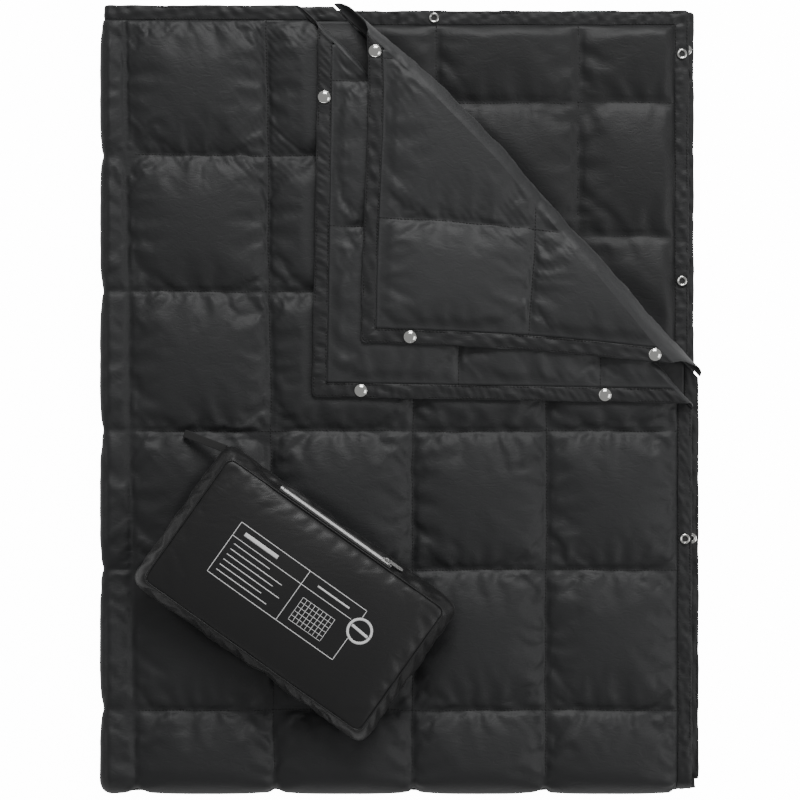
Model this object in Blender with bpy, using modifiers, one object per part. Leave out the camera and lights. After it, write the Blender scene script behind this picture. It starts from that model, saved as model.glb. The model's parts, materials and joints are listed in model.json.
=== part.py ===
"""Camp quilt folded in quarters, one corner of its two upper layers turned back, with its filled
zip pouch lying on it.

Frame: metres, +Z up, origin at the middle of the underside, +Y along the long side.
The left side (-X) and the bottom side (-Y) are folds, the right and top sides are open hems.
Layers are numbered from the top: 1 and 2 are the upper pair, 3 and 4 the lower pair.
"""

import math

import bmesh
import bpy
from mathutils import Matrix, Vector

MM = 0.001

# Folded quilt
WIDTH = 700 * MM
LENGTH = 922 * MM
LAYER = 11.4 * MM  # one layer: shell, batting and lining
AIR = 0.6 * MM  # between two layers
FABRIC = 0.8 * MM
GAP = 0.3 * MM  # between pieces that touch
HEM_WIDTH = 17 * MM
HEM_THICK = 2.4 * MM
RIGHT_SETBACK = {1: 9 * MM, 2: 0.0, 3: 10 * MM, 4: 3 * MM}
TOP_SETBACK = {1: 0.0, 2: 0.0, 3: 3 * MM, 4: 3 * MM}
ARC_STEPS = 12

# Turned-back corner. The fold's normal points up and to the right, away from the flaps.
FOLD_ANGLE = math.radians(45.5)
FOLD_EDGE = {1: 243 * MM, 2: 282 * MM}  # outside of the roll, along the normal from the origin
ROLL_SQUASH = 0.6  # the roll is narrower than it is high
HINGE_OUT = {1: 3 * MM, 2: 4 * MM}  # hinge line outside the roll centre, for the rolled length
FLAP_NAMES = {1: "lower_corner", 2: "upper_corner"}
FLAP_CORNER = {1: (-102.7 * MM, 3.5 * MM), 2: (-45.5 * MM, 66.5 * MM)}

# Press snaps
CAP_RADIUS = 7.4 * MM
CAP_RIM = 0.8 * MM
CAP_DOME = 0.9 * MM
POST_RADIUS = 1.9 * MM
POST_CLEARANCE = 0.4 * MM
SOCKET_RADIUS = 6.2 * MM
SOCKET_HEIGHT = 2.6 * MM
STUD_FLANGE = 1.0 * MM
STUD_RADIUS = 3.1 * MM
STUD_HEIGHT = 3.4 * MM
SNAP_SIDES = 20
FLAP_SNAPS_RIGHT = {1: (57 * MM, 341 * MM), 2: (57 * MM, 341 * MM)}  # from the flap's corner
FLAP_SNAP_TOP = {1: 349 * MM, 2: 334 * MM}
LAYER_3_SNAPS_RIGHT = (51 * MM, 318 * MM)
LAYER_3_SNAP_TOP = 300 * MM
LAYER_4_SNAP_RIGHT = 45 * MM
MIDDLE_SNAP = 623 * MM  # the snap of layers 1 and 2 that stays in view below the flaps

# Pouch
POUCH_PLACE = (-121 * MM, -223 * MM)
POUCH_TURN = math.radians(-35.4)
POUCH_LENGTH = 328 * MM
POUCH_WIDTH = 197 * MM
POUCH_HEIGHT = 75 * MM
POUCH_CORNER = 26 * MM
POUCH_WALL = 1.2 * MM
GUSSET_BULGE = 13 * MM
TOP_SEAM = 59 * MM
BOTTOM_SEAM = 9 * MM
CORNER_STEPS = 5
BAND_STEPS = 6
CROWN_SHARES = (1, 0.88, 0.7, 0.4)  # rings of a panel, as shares of its seam's outline
FILLING_TAPER = 60 * MM

# Zip, in the gusset's long side just below the top seam
ZIP_START = -84 * MM
ZIP_LENGTH = 156 * MM
ZIP_WIDTH = 11.2 * MM
ZIP_RISE = 51 * MM  # height of the zip's centre line above the pouch's underside
TAPE_THICK = 0.9 * MM
CHAIN_WIDTH = 3.2 * MM
CHAIN_THICK = 2.2 * MM
STOP_LENGTH = 4 * MM
SLIDER_LENGTH = 9 * MM
SLIDER_WIDTH = 8 * MM
SLIDER_WALL = 1.1 * MM
BAIL_RADIUS = 0.7 * MM
BAIL_HEIGHT = 3 * MM
PULL_LENGTH = 22 * MM
PULL_WIDTH = 5 * MM
PULL_THICK = 1.1 * MM
PULL_BAR = 0.5 * MM  # half the width of the bar that hangs in the bail
PULL_EYE = 4.4 * MM
PULL_CLEARANCE = 0.4 * MM

# Hang loop at one corner of the pouch
LOOP_LENGTH = 60 * MM
LOOP_WIDTH = 9 * MM
LOOP_THICK = 3.2 * MM  # the strap is folded double and lies flat
LOOP_DROOP = math.radians(27)
LOOP_TURN = math.radians(195.8)
LOOP_RISE = 29 * MM
LOOP_CLEAR = 5 * MM

# Worked out from the above
PITCH = LAYER + AIR
LAYER_Z = {number: LAYER / 2 + (4 - number) * PITCH for number in (1, 2, 3, 4)}
FLAP_Z = {1: LAYER_Z[1] + PITCH, 2: LAYER_Z[1] + 2 * PITCH}
HINGE_Z = (LAYER_Z[1] + FLAP_Z[1]) / 2
ROLL_RADIUS = {layer: FLAP_Z[layer] - HINGE_Z for layer in (1, 2)}
ROLL_REACH = {layer: (ROLL_RADIUS[layer] + LAYER / 2) * ROLL_SQUASH for layer in (1, 2)}
FOLD_REACH = {layer: FOLD_EDGE[layer] - ROLL_REACH[layer] for layer in (1, 2)}  # roll centre
STACK_TOP = LAYER_Z[1] + LAYER / 2
PAIR_RADIUS = PITCH / 2 + LAYER / 2
LEFT, RIGHT = -WIDTH / 2, WIDTH / 2
BOTTOM, TOP = -LENGTH / 2, LENGTH / 2
FOLD_CENTRE_Z = (LAYER_Z[1] + LAYER_Z[4]) / 2
FOLD_Y = BOTTOM + FOLD_CENTRE_Z + GAP
ALONG = Vector((math.cos(FOLD_ANGLE), -math.sin(FOLD_ANGLE)))  # down the fold, to the right
OUTWARD = Vector((math.sin(FOLD_ANGLE), math.cos(FOLD_ANGLE)))

# Stands a plate up: its X becomes Y, its Y becomes Z, and its thickness lies along X
UPRIGHT = Matrix(((0, 0, 1, 0), (1, 0, 0, 0), (0, 1, 0, 0), (0, 0, 0, 1)))

COLOURS = {
    "shell": ((0.028, 0.029, 0.031), 0.55, 0.0),
    "lining": ((0.032, 0.033, 0.035), 0.55, 0.0),
    "batting": ((0.75, 0.75, 0.73), 0.95, 0.0),
    "hem": ((0.022, 0.023, 0.025), 0.6, 0.0),
    "pouch": ((0.018, 0.018, 0.019), 0.5, 0.0),
    "tape": ((0.03, 0.03, 0.032), 0.7, 0.0),
    "zip": ((0.8, 0.8, 0.8), 0.35, 0.0),
    "steel": ((0.62, 0.62, 0.6), 0.28, 1.0),
    "webbing": ((0.02, 0.02, 0.02), 0.8, 0.0),
}


def clear_scene():
    for obj in list(bpy.data.objects):
        bpy.data.objects.remove(obj)


def new_collection(name):
    collection = bpy.data.collections.new(name)
    bpy.context.scene.collection.children.link(collection)
    return collection


def material(finish):
    """The finish's Principled material, made once."""
    found = bpy.data.materials.get(finish)
    if found:
        return found
    colour, roughness, metallic = COLOURS[finish]
    made = bpy.data.materials.new(finish)
    made.use_nodes = True
    shader = made.node_tree.nodes["Principled BSDF"]
    shader.inputs["Base Color"].default_value = (*colour, 1)
    shader.inputs["Roughness"].default_value = roughness
    shader.inputs["Metallic"].default_value = metallic
    return made


def add_mesh(name, mesh, finish, collection, parent=None):
    obj = bpy.data.objects.new(name, mesh)
    mesh.materials.clear()
    mesh.materials.append(material(finish))
    collection.objects.link(obj)
    obj.parent = parent
    return obj


def add_empty(name, collection, place, rotation=(0, 0, 0), parent=None):
    empty = bpy.data.objects.new(name, None)
    collection.objects.link(empty)
    empty.location = place
    empty.rotation_euler = rotation
    empty.parent = parent
    return empty


def mesh_of_curve(name, curve):
    """The curve's solid as a mesh, with its caps welded to its sides."""
    source = bpy.data.objects.new(name, curve)
    bpy.context.scene.collection.objects.link(source)
    bpy.context.view_layer.update()
    mesh = bpy.data.meshes.new_from_object(source.evaluated_get(bpy.context.evaluated_depsgraph_get()))
    mesh.transform(source.matrix_world)
    bpy.data.objects.remove(source)
    welded = bmesh.new()
    welded.from_mesh(mesh)
    bmesh.ops.remove_doubles(welded, verts=welded.verts, dist=0.00001)
    bmesh.ops.recalc_face_normals(welded, faces=welded.faces)
    welded.to_mesh(mesh)
    welded.free()
    return mesh


def plate_mesh(name, outline, thickness, holes=()):
    """A flat plate with this outline in XY and round holes, centred on z = 0."""
    curve = bpy.data.curves.new(name, "CURVE")
    curve.dimensions = "2D"
    curve.fill_mode = "BOTH"
    curve.extrude = thickness / 2
    for loop in (outline, *holes):
        spline = curve.splines.new("POLY")
        spline.points.add(len(loop) - 1)
        spline.use_cyclic_u = True
        for point, place in zip(spline.points, loop):
            point.co = (place[0], place[1], 0, 1)
    return mesh_of_curve(name, curve)


def circle(centre, radius, sides=SNAP_SIDES):
    turns = [2 * math.pi * step / sides for step in range(sides)]
    return [(centre[0] + radius * math.cos(a), centre[1] + radius * math.sin(a)) for a in turns]


def boolean(obj, cutter, operation="DIFFERENCE"):
    modifier = obj.modifiers.new(cutter.name, "BOOLEAN")
    modifier.operation = operation
    modifier.object = cutter


def as_cutter(obj):
    obj.hide_render = True
    obj.display_type = "WIRE"
    return obj


def box_mesh(name, size, place=(0, 0, 0)):
    mesh = bpy.data.meshes.new(name)
    shape = bmesh.new()
    where = Matrix.Translation(place) @ Matrix.Diagonal((*size, 1))
    bmesh.ops.create_cube(shape, size=1, matrix=where)
    shape.to_mesh(mesh)
    shape.free()
    return mesh


def plan(reach, along):
    """The point this far along the fold's normal and this far down the fold, in the plan."""
    return OUTWARD * reach + ALONG * along


def fold_span(reach, layer):
    """Where the line at this reach meets the layer's top and right edges, measured down the fold."""
    start = (OUTWARD.y * reach - (TOP - TOP_SETBACK[layer])) / -ALONG.y
    end = (RIGHT - RIGHT_SETBACK[layer] - OUTWARD.x * reach) / ALONG.x
    return start, end


# Quilt


def fold_profile(centre, radius_out, radius_in, upper_end, lower_end):
    """A band that comes in along the top, turns half round the centre and goes back below it."""
    turn = [math.pi / 2 + math.pi * step / ARC_STEPS for step in range(ARC_STEPS + 1)]
    points = []
    if upper_end is not None:
        points.append((upper_end, centre[1] + radius_out))
    points += [(centre[0] + radius_out * math.cos(a), centre[1] + radius_out * math.sin(a)) for a in turn]
    if lower_end is not None:
        points.append((lower_end, centre[1] - radius_out))
        points.append((lower_end, centre[1] - radius_in))
    inner = [(centre[0] + radius_in * math.cos(a), centre[1] + radius_in * math.sin(a)) for a in turn]
    points += reversed(inner)
    if upper_end is not None:
        points.append((upper_end, centre[1] + radius_in))
    return points


def add_pair(name, upper, lower, collection, cutters):
    """Two layers joined at the left-hand fold, as a shell, a batting and a lining round each other."""
    top_end = TOP - TOP_SETBACK[upper] - HEM_WIDTH - GAP
    centre = (LEFT + PAIR_RADIUS, (LAYER_Z[upper] + LAYER_Z[lower]) / 2)
    ends = [RIGHT - RIGHT_SETBACK[layer] - HEM_WIDTH - GAP for layer in (upper, lower)]
    depth = {
        "shell": (0, FABRIC),
        "batting": (FABRIC + GAP, LAYER - FABRIC - GAP),
        "lining": (LAYER - FABRIC, LAYER),
    }
    length = top_end - FOLD_Y
    for part, (near, far) in depth.items():
        outline = fold_profile(centre, PAIR_RADIUS - near, PAIR_RADIUS - far, *ends)
        mesh = plate_mesh(f"{name}_{part}", outline, length)
        obj = add_mesh(f"{name}_{part}", mesh, part, collection)
        obj.rotation_euler.x = math.pi / 2
        obj.location.y = FOLD_Y + length / 2
        for cutter in cutters:
            boolean(obj, cutter)


def corner_cutter(layer, low, high, cutters):
    """Takes away everything beyond the layer's roll centre, between two heights."""
    reach = FOLD_REACH[layer] - GAP
    size = WIDTH + LENGTH
    mesh = box_mesh(f"beyond_fold_{layer}", (size, size, high - low), (0, size / 2, (low + high) / 2))
    cutter = add_mesh(f"beyond_fold_{layer}", mesh, "batting", cutters)
    cutter.rotation_euler.z = -FOLD_ANGLE
    cutter.location = (*(OUTWARD * reach), 0)
    return as_cutter(cutter)


def add_bottom_fold(name, radius_out, radius_in, right, collection):
    outline = fold_profile((FOLD_Y - GAP, FOLD_CENTRE_Z), radius_out, radius_in, None, None)
    length = right - LEFT
    obj = add_mesh(name, plate_mesh(name, outline, length), "shell", collection)
    obj.matrix_world = Matrix.Translation(((LEFT + right) / 2, 0, 0)) @ UPRIGHT


def add_hem(name, outline, height, collection, holes=(), parent=None):
    """A flat sewn band in the middle of its layer's thickness, with a hole for each snap's post."""
    rings = [circle(hole, POST_RADIUS + POST_CLEARANCE) for hole in holes]
    obj = add_mesh(name, plate_mesh(name, outline, HEM_THICK, rings), "hem", collection)
    obj.location.z = height
    if parent:
        place_in(obj, parent)
    return obj


def place_in(obj, parent):
    """Parents a piece that is already where it belongs."""
    bpy.context.view_layer.update()
    world = obj.matrix_world.copy()
    obj.parent = parent
    obj.matrix_world = world


def add_body_hems(collection):
    """The hems that stay flat: along the top and the right of each layer."""
    snaps = {}
    for layer in (1, 2):
        top, right = TOP - TOP_SETBACK[layer], RIGHT - RIGHT_SETBACK[layer]
        reach = FOLD_REACH[layer] - GAP
        start = LEFT + PAIR_RADIUS
        cut = [plan(reach, fold_span_at_y(reach, y)).x for y in (top, top - HEM_WIDTH)]
        outline = [(start, top - HEM_WIDTH), (cut[1], top - HEM_WIDTH), (cut[0], top), (start, top)]
        add_hem(f"layer_{layer}_top_hem", outline, LAYER_Z[layer], collection)
        cut = [plan(reach, fold_span_at_x(reach, x)).y for x in (right - HEM_WIDTH, right)]
        outline = [(right - HEM_WIDTH, FOLD_Y), (right, FOLD_Y), (right, cut[1]), (right - HEM_WIDTH, cut[0])]
        snap = Vector((right - HEM_WIDTH / 2, top - MIDDLE_SNAP))
        add_hem(f"layer_{layer}_right_hem", outline, LAYER_Z[layer], collection, [snap])
        snaps[layer] = [snap]
    for layer in (3, 4):
        top, right = TOP - TOP_SETBACK[layer], RIGHT - RIGHT_SETBACK[layer]
        start = LEFT + PAIR_RADIUS
        inner = (right - HEM_WIDTH, top - HEM_WIDTH)
        outline = [(start, inner[1]), inner, (inner[0], FOLD_Y), (right, FOLD_Y), (right, top), (start, top)]
        middle = Vector((right - HEM_WIDTH / 2, top - HEM_WIDTH / 2))
        down = LAYER_3_SNAPS_RIGHT if layer == 3 else (LAYER_4_SNAP_RIGHT,)
        snaps[layer] = [Vector((middle.x, top - drop)) for drop in down]
        if layer == 3:
            snaps[layer].append(Vector((right - LAYER_3_SNAP_TOP, middle.y)))
        add_hem(f"layer_{layer}_hem", outline, LAYER_Z[layer], collection, snaps[layer])
    return snaps


def fold_span_at_y(reach, y):
    return (OUTWARD.y * reach - y) / -ALONG.y


def fold_span_at_x(reach, x):
    return (x - OUTWARD.x * reach) / ALONG.x


# Turned-back corner


def mirrored(direction):
    """A direction in the plan, turned over with the flap."""
    return direction - 2 * direction.dot(OUTWARD) * OUTWARD


def flap_point(layer, along_top, along_right):
    """A point on the flap, from its corner: along what was the top edge and what was the right edge."""
    corner = Vector(FLAP_CORNER[layer])
    return corner + mirrored(Vector((-1, 0))) * along_top + mirrored(Vector((0, -1))) * along_right


def flap_leg(layer, reach, inset, edge):
    """Where a line parallel to one of the flap's edges, this far in from it, meets the roll line."""
    start = flap_point(layer, inset, 0) if edge == "right" else flap_point(layer, 0, inset)
    way = mirrored(Vector((0, -1)) if edge == "right" else Vector((-1, 0)))
    return start + way * ((reach - start.dot(OUTWARD)) / way.dot(OUTWARD))


def add_flap(name, layer, parent, collection):
    reach = FOLD_REACH[layer] - GAP
    inner = HEM_WIDTH + GAP
    outline = [
        flap_point(layer, inner, inner),
        flap_leg(layer, reach, inner, "right"),
        flap_leg(layer, reach, inner, "top"),
    ]
    low = FLAP_Z[layer] - LAYER / 2
    # The layer is upside down here: on layer 1 the lining faces up, on layer 2 the shell does.
    order = ("shell", "batting", "lining") if layer == 1 else ("lining", "batting", "shell")
    thick = {"shell": FABRIC, "batting": LAYER - 2 * (FABRIC + GAP), "lining": FABRIC}
    for part in order:
        mesh = plate_mesh(f"{name}_{part}", outline, thick[part])
        obj = add_mesh(f"{name}_{part}", mesh, part, collection)
        obj.location.z = low + thick[part] / 2
        place_in(obj, parent)
        low += thick[part] + GAP
    half = HEM_WIDTH / 2
    snaps = [flap_point(layer, half, distance) for distance in FLAP_SNAPS_RIGHT[layer]]
    snaps.append(flap_point(layer, FLAP_SNAP_TOP[layer], half))
    outline = [
        flap_point(layer, 0, 0),
        flap_leg(layer, reach, 0, "right"),
        flap_leg(layer, reach, HEM_WIDTH, "right"),
        flap_point(layer, HEM_WIDTH, HEM_WIDTH),
        flap_leg(layer, reach, HEM_WIDTH, "top"),
        flap_leg(layer, reach, 0, "top"),
    ]
    add_hem(f"{name}_hem", outline, FLAP_Z[layer], collection, snaps, parent)
    return snaps


def add_corner_roll(name, layer, collection):
    """The strip of quilt that turns over between a layer and its flap, as half a thick tube."""
    radius = ROLL_RADIUS[layer]
    reach = FOLD_REACH[layer]
    start, end = fold_span(FOLD_EDGE[layer], layer)
    outline = fold_profile((0, 0), radius + LAYER / 2, radius - LAYER / 2, None, None)
    outline = [(across * ROLL_SQUASH, up) for across, up in outline]
    obj = add_mesh(name, plate_mesh(name, outline, end - start), "shell", collection)
    middle = plan(reach, (start + end) / 2)
    turn = Matrix.Identity(4)
    turn.col[0] = (*-OUTWARD, 0, 0)
    turn.col[1] = (0, 0, 1, 0)
    turn.col[2] = (*-ALONG, 0, 0)
    obj.matrix_world = Matrix.Translation((*middle, HINGE_Z)) @ turn


def add_corner_hinge(name, layer, collection):
    """The line that a flap turns about, level with the middle of its roll."""
    place = plan(FOLD_REACH[layer] + HINGE_OUT[layer], 0)
    return add_empty(name, collection, (*place, HINGE_Z), (0, 0, -FOLD_ANGLE))


# Press snaps


def turned(name, profile, finish, collection, closed=True):
    """A solid of revolution about Z from (radius, height) points that run down its outer side."""
    mesh = bpy.data.meshes.new(name)
    points = [(radius, 0, height) for radius, height in profile]
    edges = [(i, i + 1) for i in range(len(points) - 1)]
    if closed:
        edges.append((len(points) - 1, 0))
    mesh.from_pydata(points, edges, [])
    obj = add_mesh(name, mesh, finish, collection)
    screw = obj.modifiers.new("turn", "SCREW")
    screw.steps = screw.render_steps = SNAP_SIDES
    screw.use_merge_vertices = True
    screw.merge_threshold = 0.00001
    return obj


def cap_profile():
    """Domed cap over the hem, with a post that goes down through it. The hem's middle is z = 0."""
    seat = HEM_THICK / 2 + GAP
    foot = -(HEM_THICK / 2 + GAP + SOCKET_HEIGHT * 0.7)
    return [
        (0, seat + CAP_RIM + CAP_DOME),
        (CAP_RADIUS * 0.6, seat + CAP_RIM + CAP_DOME * 0.8),
        (CAP_RADIUS, seat + CAP_RIM),
        (CAP_RADIUS, seat),
        (POST_RADIUS, seat),
        (POST_RADIUS, foot),
        (0, foot),
    ]


def socket_profile():
    seat = -(HEM_THICK / 2 + GAP)
    bore = POST_RADIUS + POST_CLEARANCE
    return [
        (bore + 1 * MM, seat),
        (SOCKET_RADIUS, seat),
        (SOCKET_RADIUS, seat - SOCKET_HEIGHT * 0.6),
        (SOCKET_RADIUS * 0.88, seat - SOCKET_HEIGHT),
        (bore + 1.6 * MM, seat - SOCKET_HEIGHT),
        (bore, seat - SOCKET_HEIGHT * 0.75),
        (bore, seat - 0.6 * MM),
    ]


def stud_profile():
    seat = -(HEM_THICK / 2 + GAP)
    bore = POST_RADIUS + POST_CLEARANCE
    return [
        (bore, seat),
        (SOCKET_RADIUS, seat),
        (SOCKET_RADIUS, seat - STUD_FLANGE),
        (STUD_RADIUS, seat - STUD_FLANGE),
        (STUD_RADIUS, seat - STUD_HEIGHT),
        (bore, seat - STUD_HEIGHT),
    ]


def add_snap(name, kind, place, height, cap_up, collection, parent=None):
    """A cap on one face of the hem and its socket or stud on the other."""
    pieces = {"cap": cap_profile(), kind: socket_profile() if kind == "socket" else stud_profile()}
    for part, profile in pieces.items():
        obj = turned(f"{name}_{part}", profile, "steel", collection, part != "cap")
        obj.location = (place[0], place[1], height)
        obj.rotation_euler.x = 0 if cap_up else math.pi
        if parent:
            place_in(obj, parent)


# Pouch


def pouch_outline(inset):
    """Rounded rectangle in the plan, this far inside the pouch's widest outline."""
    half = (POUCH_LENGTH / 2 - inset, POUCH_WIDTH / 2 - inset)
    radius = POUCH_CORNER - min(inset, GUSSET_BULGE) * 0.5
    points = []
    for quarter in range(4):
        sign = ((1, 1), (-1, 1), (-1, -1), (1, -1))[quarter]
        centre = (sign[0] * (half[0] - radius), sign[1] * (half[1] - radius))
        for step in range(CORNER_STEPS + 1):
            a = math.pi / 2 * (quarter + step / CORNER_STEPS)
            points.append((centre[0] + radius * math.cos(a), centre[1] + radius * math.sin(a)))
    return points


def lofted(name, rings, close_start, close_end):
    """A surface through rings of equally many points, with flat ends where asked."""
    mesh = bpy.data.meshes.new(name)
    shape = bmesh.new()
    rows = [[shape.verts.new(point) for point in ring] for ring in rings]
    count = len(rows[0])
    for low, high in zip(rows, rows[1:]):
        for i in range(count):
            shape.faces.new((low[i], low[(i + 1) % count], high[(i + 1) % count], high[i]))
    if close_start:
        shape.faces.new(list(reversed(rows[0])))
    if close_end:
        shape.faces.new(rows[-1])
    bmesh.ops.recalc_face_normals(shape, faces=shape.faces)
    shape.to_mesh(mesh)
    shape.free()
    return mesh


def ring_at(outline, height, share=1.0):
    return [(x * share, y * share, height) for x, y in outline]


def panel_rings(seam_height, crown_height):
    """From the seam in to the middle: a crowned panel that is flat in the middle."""
    outline = pouch_outline(GUSSET_BULGE)
    rise = (crown_height - seam_height) / (1 - CROWN_SHARES[-1] ** 3)
    return [ring_at(outline, seam_height + rise * (1 - share**3), share) for share in CROWN_SHARES]


def gusset_rings():
    """The side band, which bulges between the bottom seam and the top seam."""
    rings = []
    for step in range(BAND_STEPS + 1):
        height = BOTTOM_SEAM + (TOP_SEAM - BOTTOM_SEAM) * step / BAND_STEPS
        rings.append(ring_at(pouch_outline(gusset_inset(height)), height))
    return rings


def gusset_inset(height):
    """How far the band's outside is inside the widest outline at this height."""
    share = (height - BOTTOM_SEAM) / (TOP_SEAM - BOTTOM_SEAM)
    return GUSSET_BULGE * (1 - math.sin(math.pi * min(max(share, 0), 1)))


def thicken(obj, thickness, offset):
    """Offset 1 adds the wall outside the surface and -1 inside it."""
    solidify = obj.modifiers.new("wall", "SOLIDIFY")
    solidify.thickness = thickness
    solidify.offset = offset


def add_pouch(collection, cutters, frame):
    top = lofted("pouch_top_panel", panel_rings(TOP_SEAM + GAP, POUCH_HEIGHT - POUCH_WALL), False, True)
    thicken(add_mesh("pouch_top_panel", top, "pouch", collection, frame), POUCH_WALL, 1)
    base = lofted("pouch_bottom_panel", panel_rings(BOTTOM_SEAM - GAP, POUCH_WALL), False, True)
    thicken(add_mesh("pouch_bottom_panel", base, "pouch", collection, frame), POUCH_WALL, 1)
    band = lofted("pouch_gusset", gusset_rings(), False, False)
    gusset = add_mesh("pouch_gusset", band, "pouch", collection, frame)
    thicken(gusset, POUCH_WALL, -1)
    add_filling(collection, frame)
    zip_frame = add_zip_frame(collection, frame)
    slot = (ZIP_LENGTH + 2 * GAP, ZIP_WIDTH + 2 * GAP, 20 * MM)
    place = (ZIP_LENGTH / 2, 0, 0)
    cutter = add_mesh("zip_slot", box_mesh("zip_slot", slot, place), "pouch", cutters, zip_frame)
    boolean(gusset, as_cutter(cutter))
    return zip_frame


def add_filling(collection, frame):
    """What is packed inside, with room for the wall and the zip all round."""
    clear = POUCH_WALL + 2 * CHAIN_THICK
    low, high = clear, POUCH_HEIGHT - clear
    rings = []
    for step in range(BAND_STEPS + 1):
        share = step / BAND_STEPS
        inset = FILLING_TAPER * (2 * share - 1) ** 2 + clear
        rings.append(ring_at(pouch_outline(inset), low + (high - low) * share))
    mesh = lofted("pouch_filling", rings, True, True)
    add_mesh("pouch_filling", mesh, "batting", collection, frame)


def add_zip_frame(collection, frame):
    """Along the zip's centre line on the gusset: X along the zip, Z out of the band."""
    half = ZIP_WIDTH / 2
    step = 1 * MM
    slope = (gusset_inset(ZIP_RISE + step) - gusset_inset(ZIP_RISE - step)) / (2 * step)
    tilt = math.atan(slope)
    near = [POUCH_WIDTH / 2 - gusset_inset(ZIP_RISE + side * half * math.cos(tilt)) for side in (-1, 1)]
    place = (ZIP_START, sum(near) / 2, ZIP_RISE)
    return add_empty("zip_frame", collection, place, (tilt - math.pi / 2, 0, 0), frame)


def add_zip(collection, frame):
    """Two tapes in the slot, the teeth between them and a stop at each end of the teeth."""
    tape = (ZIP_WIDTH - CHAIN_WIDTH) / 2 - GAP
    for name, side in (("zip_tape_upper", -1), ("zip_tape_lower", 1)):
        place = (ZIP_LENGTH / 2, side * (CHAIN_WIDTH + tape) / 2 + side * GAP, -POUCH_WALL / 2)
        add_mesh(name, box_mesh(name, (ZIP_LENGTH, tape, TAPE_THICK), place), "tape", collection, frame)
    chain = ZIP_LENGTH - 2 * (STOP_LENGTH + GAP)
    place = (ZIP_LENGTH / 2, 0, -POUCH_WALL / 2)
    mesh = box_mesh("zip_teeth", (chain, CHAIN_WIDTH, CHAIN_THICK), place)
    add_mesh("zip_teeth", mesh, "zip", collection, frame)
    for name, end in (("zip_bottom_stop", 0), ("zip_top_stop", 1)):
        place = (STOP_LENGTH / 2 + end * (ZIP_LENGTH - STOP_LENGTH), 0, -POUCH_WALL / 2)
        mesh = box_mesh(name, (STOP_LENGTH, CHAIN_WIDTH, CHAIN_THICK), place)
        add_mesh(name, mesh, "steel", collection, frame)


def add_slider(collection, cutters, frame):
    """A saddle that straddles the teeth, with a wire bail on top for the pull."""
    top = -POUCH_WALL / 2 + CHAIN_THICK / 2
    rest = ZIP_LENGTH - STOP_LENGTH - GAP - SLIDER_LENGTH / 2
    slider_frame = add_empty("slider_frame", collection, (rest, 0, top + GAP), (0, 0, 0), frame)
    skirt = -POUCH_WALL / 2 + TAPE_THICK / 2 + GAP - (top + GAP)
    inner = CHAIN_WIDTH / 2 + GAP
    half = SLIDER_WIDTH / 2
    outline = [(-half, skirt), (-inner, skirt), (-inner, 0), (inner, 0), (inner, skirt), (half, skirt)]
    outline += [(half, SLIDER_WALL * 0.4), (half * 0.6, SLIDER_WALL), (-half * 0.6, SLIDER_WALL)]
    outline.append((-half, SLIDER_WALL * 0.4))
    mesh = plate_mesh("zip_slider", outline, SLIDER_LENGTH)
    mesh.transform(UPRIGHT)
    slider = add_mesh("zip_slider", mesh, "steel", collection, slider_frame)
    boolean(slider, add_bail(cutters, slider_frame), "UNION")
    return slider_frame


def add_bail(cutters, frame):
    """The wire arch over the slider, along the zip, that the pull hangs on."""
    foot = SLIDER_LENGTH * 0.32
    curve = bpy.data.curves.new("bail", "CURVE")
    curve.dimensions = "3D"
    curve.bevel_depth = BAIL_RADIUS
    curve.bevel_resolution = 1
    curve.use_fill_caps = True
    spline = curve.splines.new("POLY")
    steps = 8
    spline.points.add(steps)
    base = SLIDER_WALL * 0.5
    for step, point in enumerate(spline.points):
        a = math.pi * step / steps
        point.co = (-foot * math.cos(a), 0, base + (SLIDER_WALL * 0.5 + BAIL_HEIGHT) * math.sin(a), 1)
    return as_cutter(add_mesh("bail", mesh_of_curve("bail", curve), "steel", cutters, frame))


def add_pull(collection, slider_frame):
    """A flat tab whose end bar hangs in the bail, so that it turns about that bar's middle."""
    height = SLIDER_WALL + BAIL_HEIGHT - BAIL_RADIUS - PULL_THICK / 2 - GAP
    hinge = add_empty("pull_hinge", collection, (0, 0, height), (0, 0, 0), slider_frame)
    half = PULL_WIDTH / 2
    outline = [(-PULL_BAR, -half), (PULL_LENGTH * 0.85, -half), (PULL_LENGTH, -half * 0.5)]
    outline += [(x, -y) for x, y in reversed(outline)]
    eye = [(x, y * (BAIL_RADIUS + PULL_CLEARANCE)) for x, y in ((0, -1), (PULL_EYE, -1), (PULL_EYE, 1), (0, 1))]
    eye = [(x + PULL_BAR, y) for x, y in eye]
    mesh = plate_mesh("zip_pull", outline, PULL_THICK, [eye])
    add_mesh("zip_pull", mesh, "zip", collection, hinge)


def add_hang_loop(collection, frame):
    """A strap folded double and sewn into the pouch's corner; it turns about the sewn end."""
    corner = Vector((POUCH_CORNER - POUCH_LENGTH / 2, POUCH_WIDTH / 2 - POUCH_CORNER))
    root = corner + Vector((-1, 1)).normalized() * POUCH_CORNER
    way = Vector((math.cos(LOOP_TURN), math.sin(LOOP_TURN)))
    place = root + way * (LOOP_CLEAR + LOOP_THICK / 2)
    turn = (0, LOOP_DROOP, LOOP_TURN)
    hinge = add_empty("loop_hinge", collection, (*place, LOOP_RISE), turn, frame)
    half = LOOP_THICK / 2
    length = LOOP_LENGTH - LOOP_THICK
    quarter = [math.pi / 2 + math.pi * step / 6 for step in range(7)]
    outline = [(half * math.cos(a), half * math.sin(a)) for a in quarter]
    outline += [(length - x, -y) for x, y in outline]
    mesh = plate_mesh("hang_loop", outline, LOOP_WIDTH)
    obj = add_mesh("hang_loop", mesh, "webbing", collection, hinge)
    obj.rotation_euler.x = math.pi / 2


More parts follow.
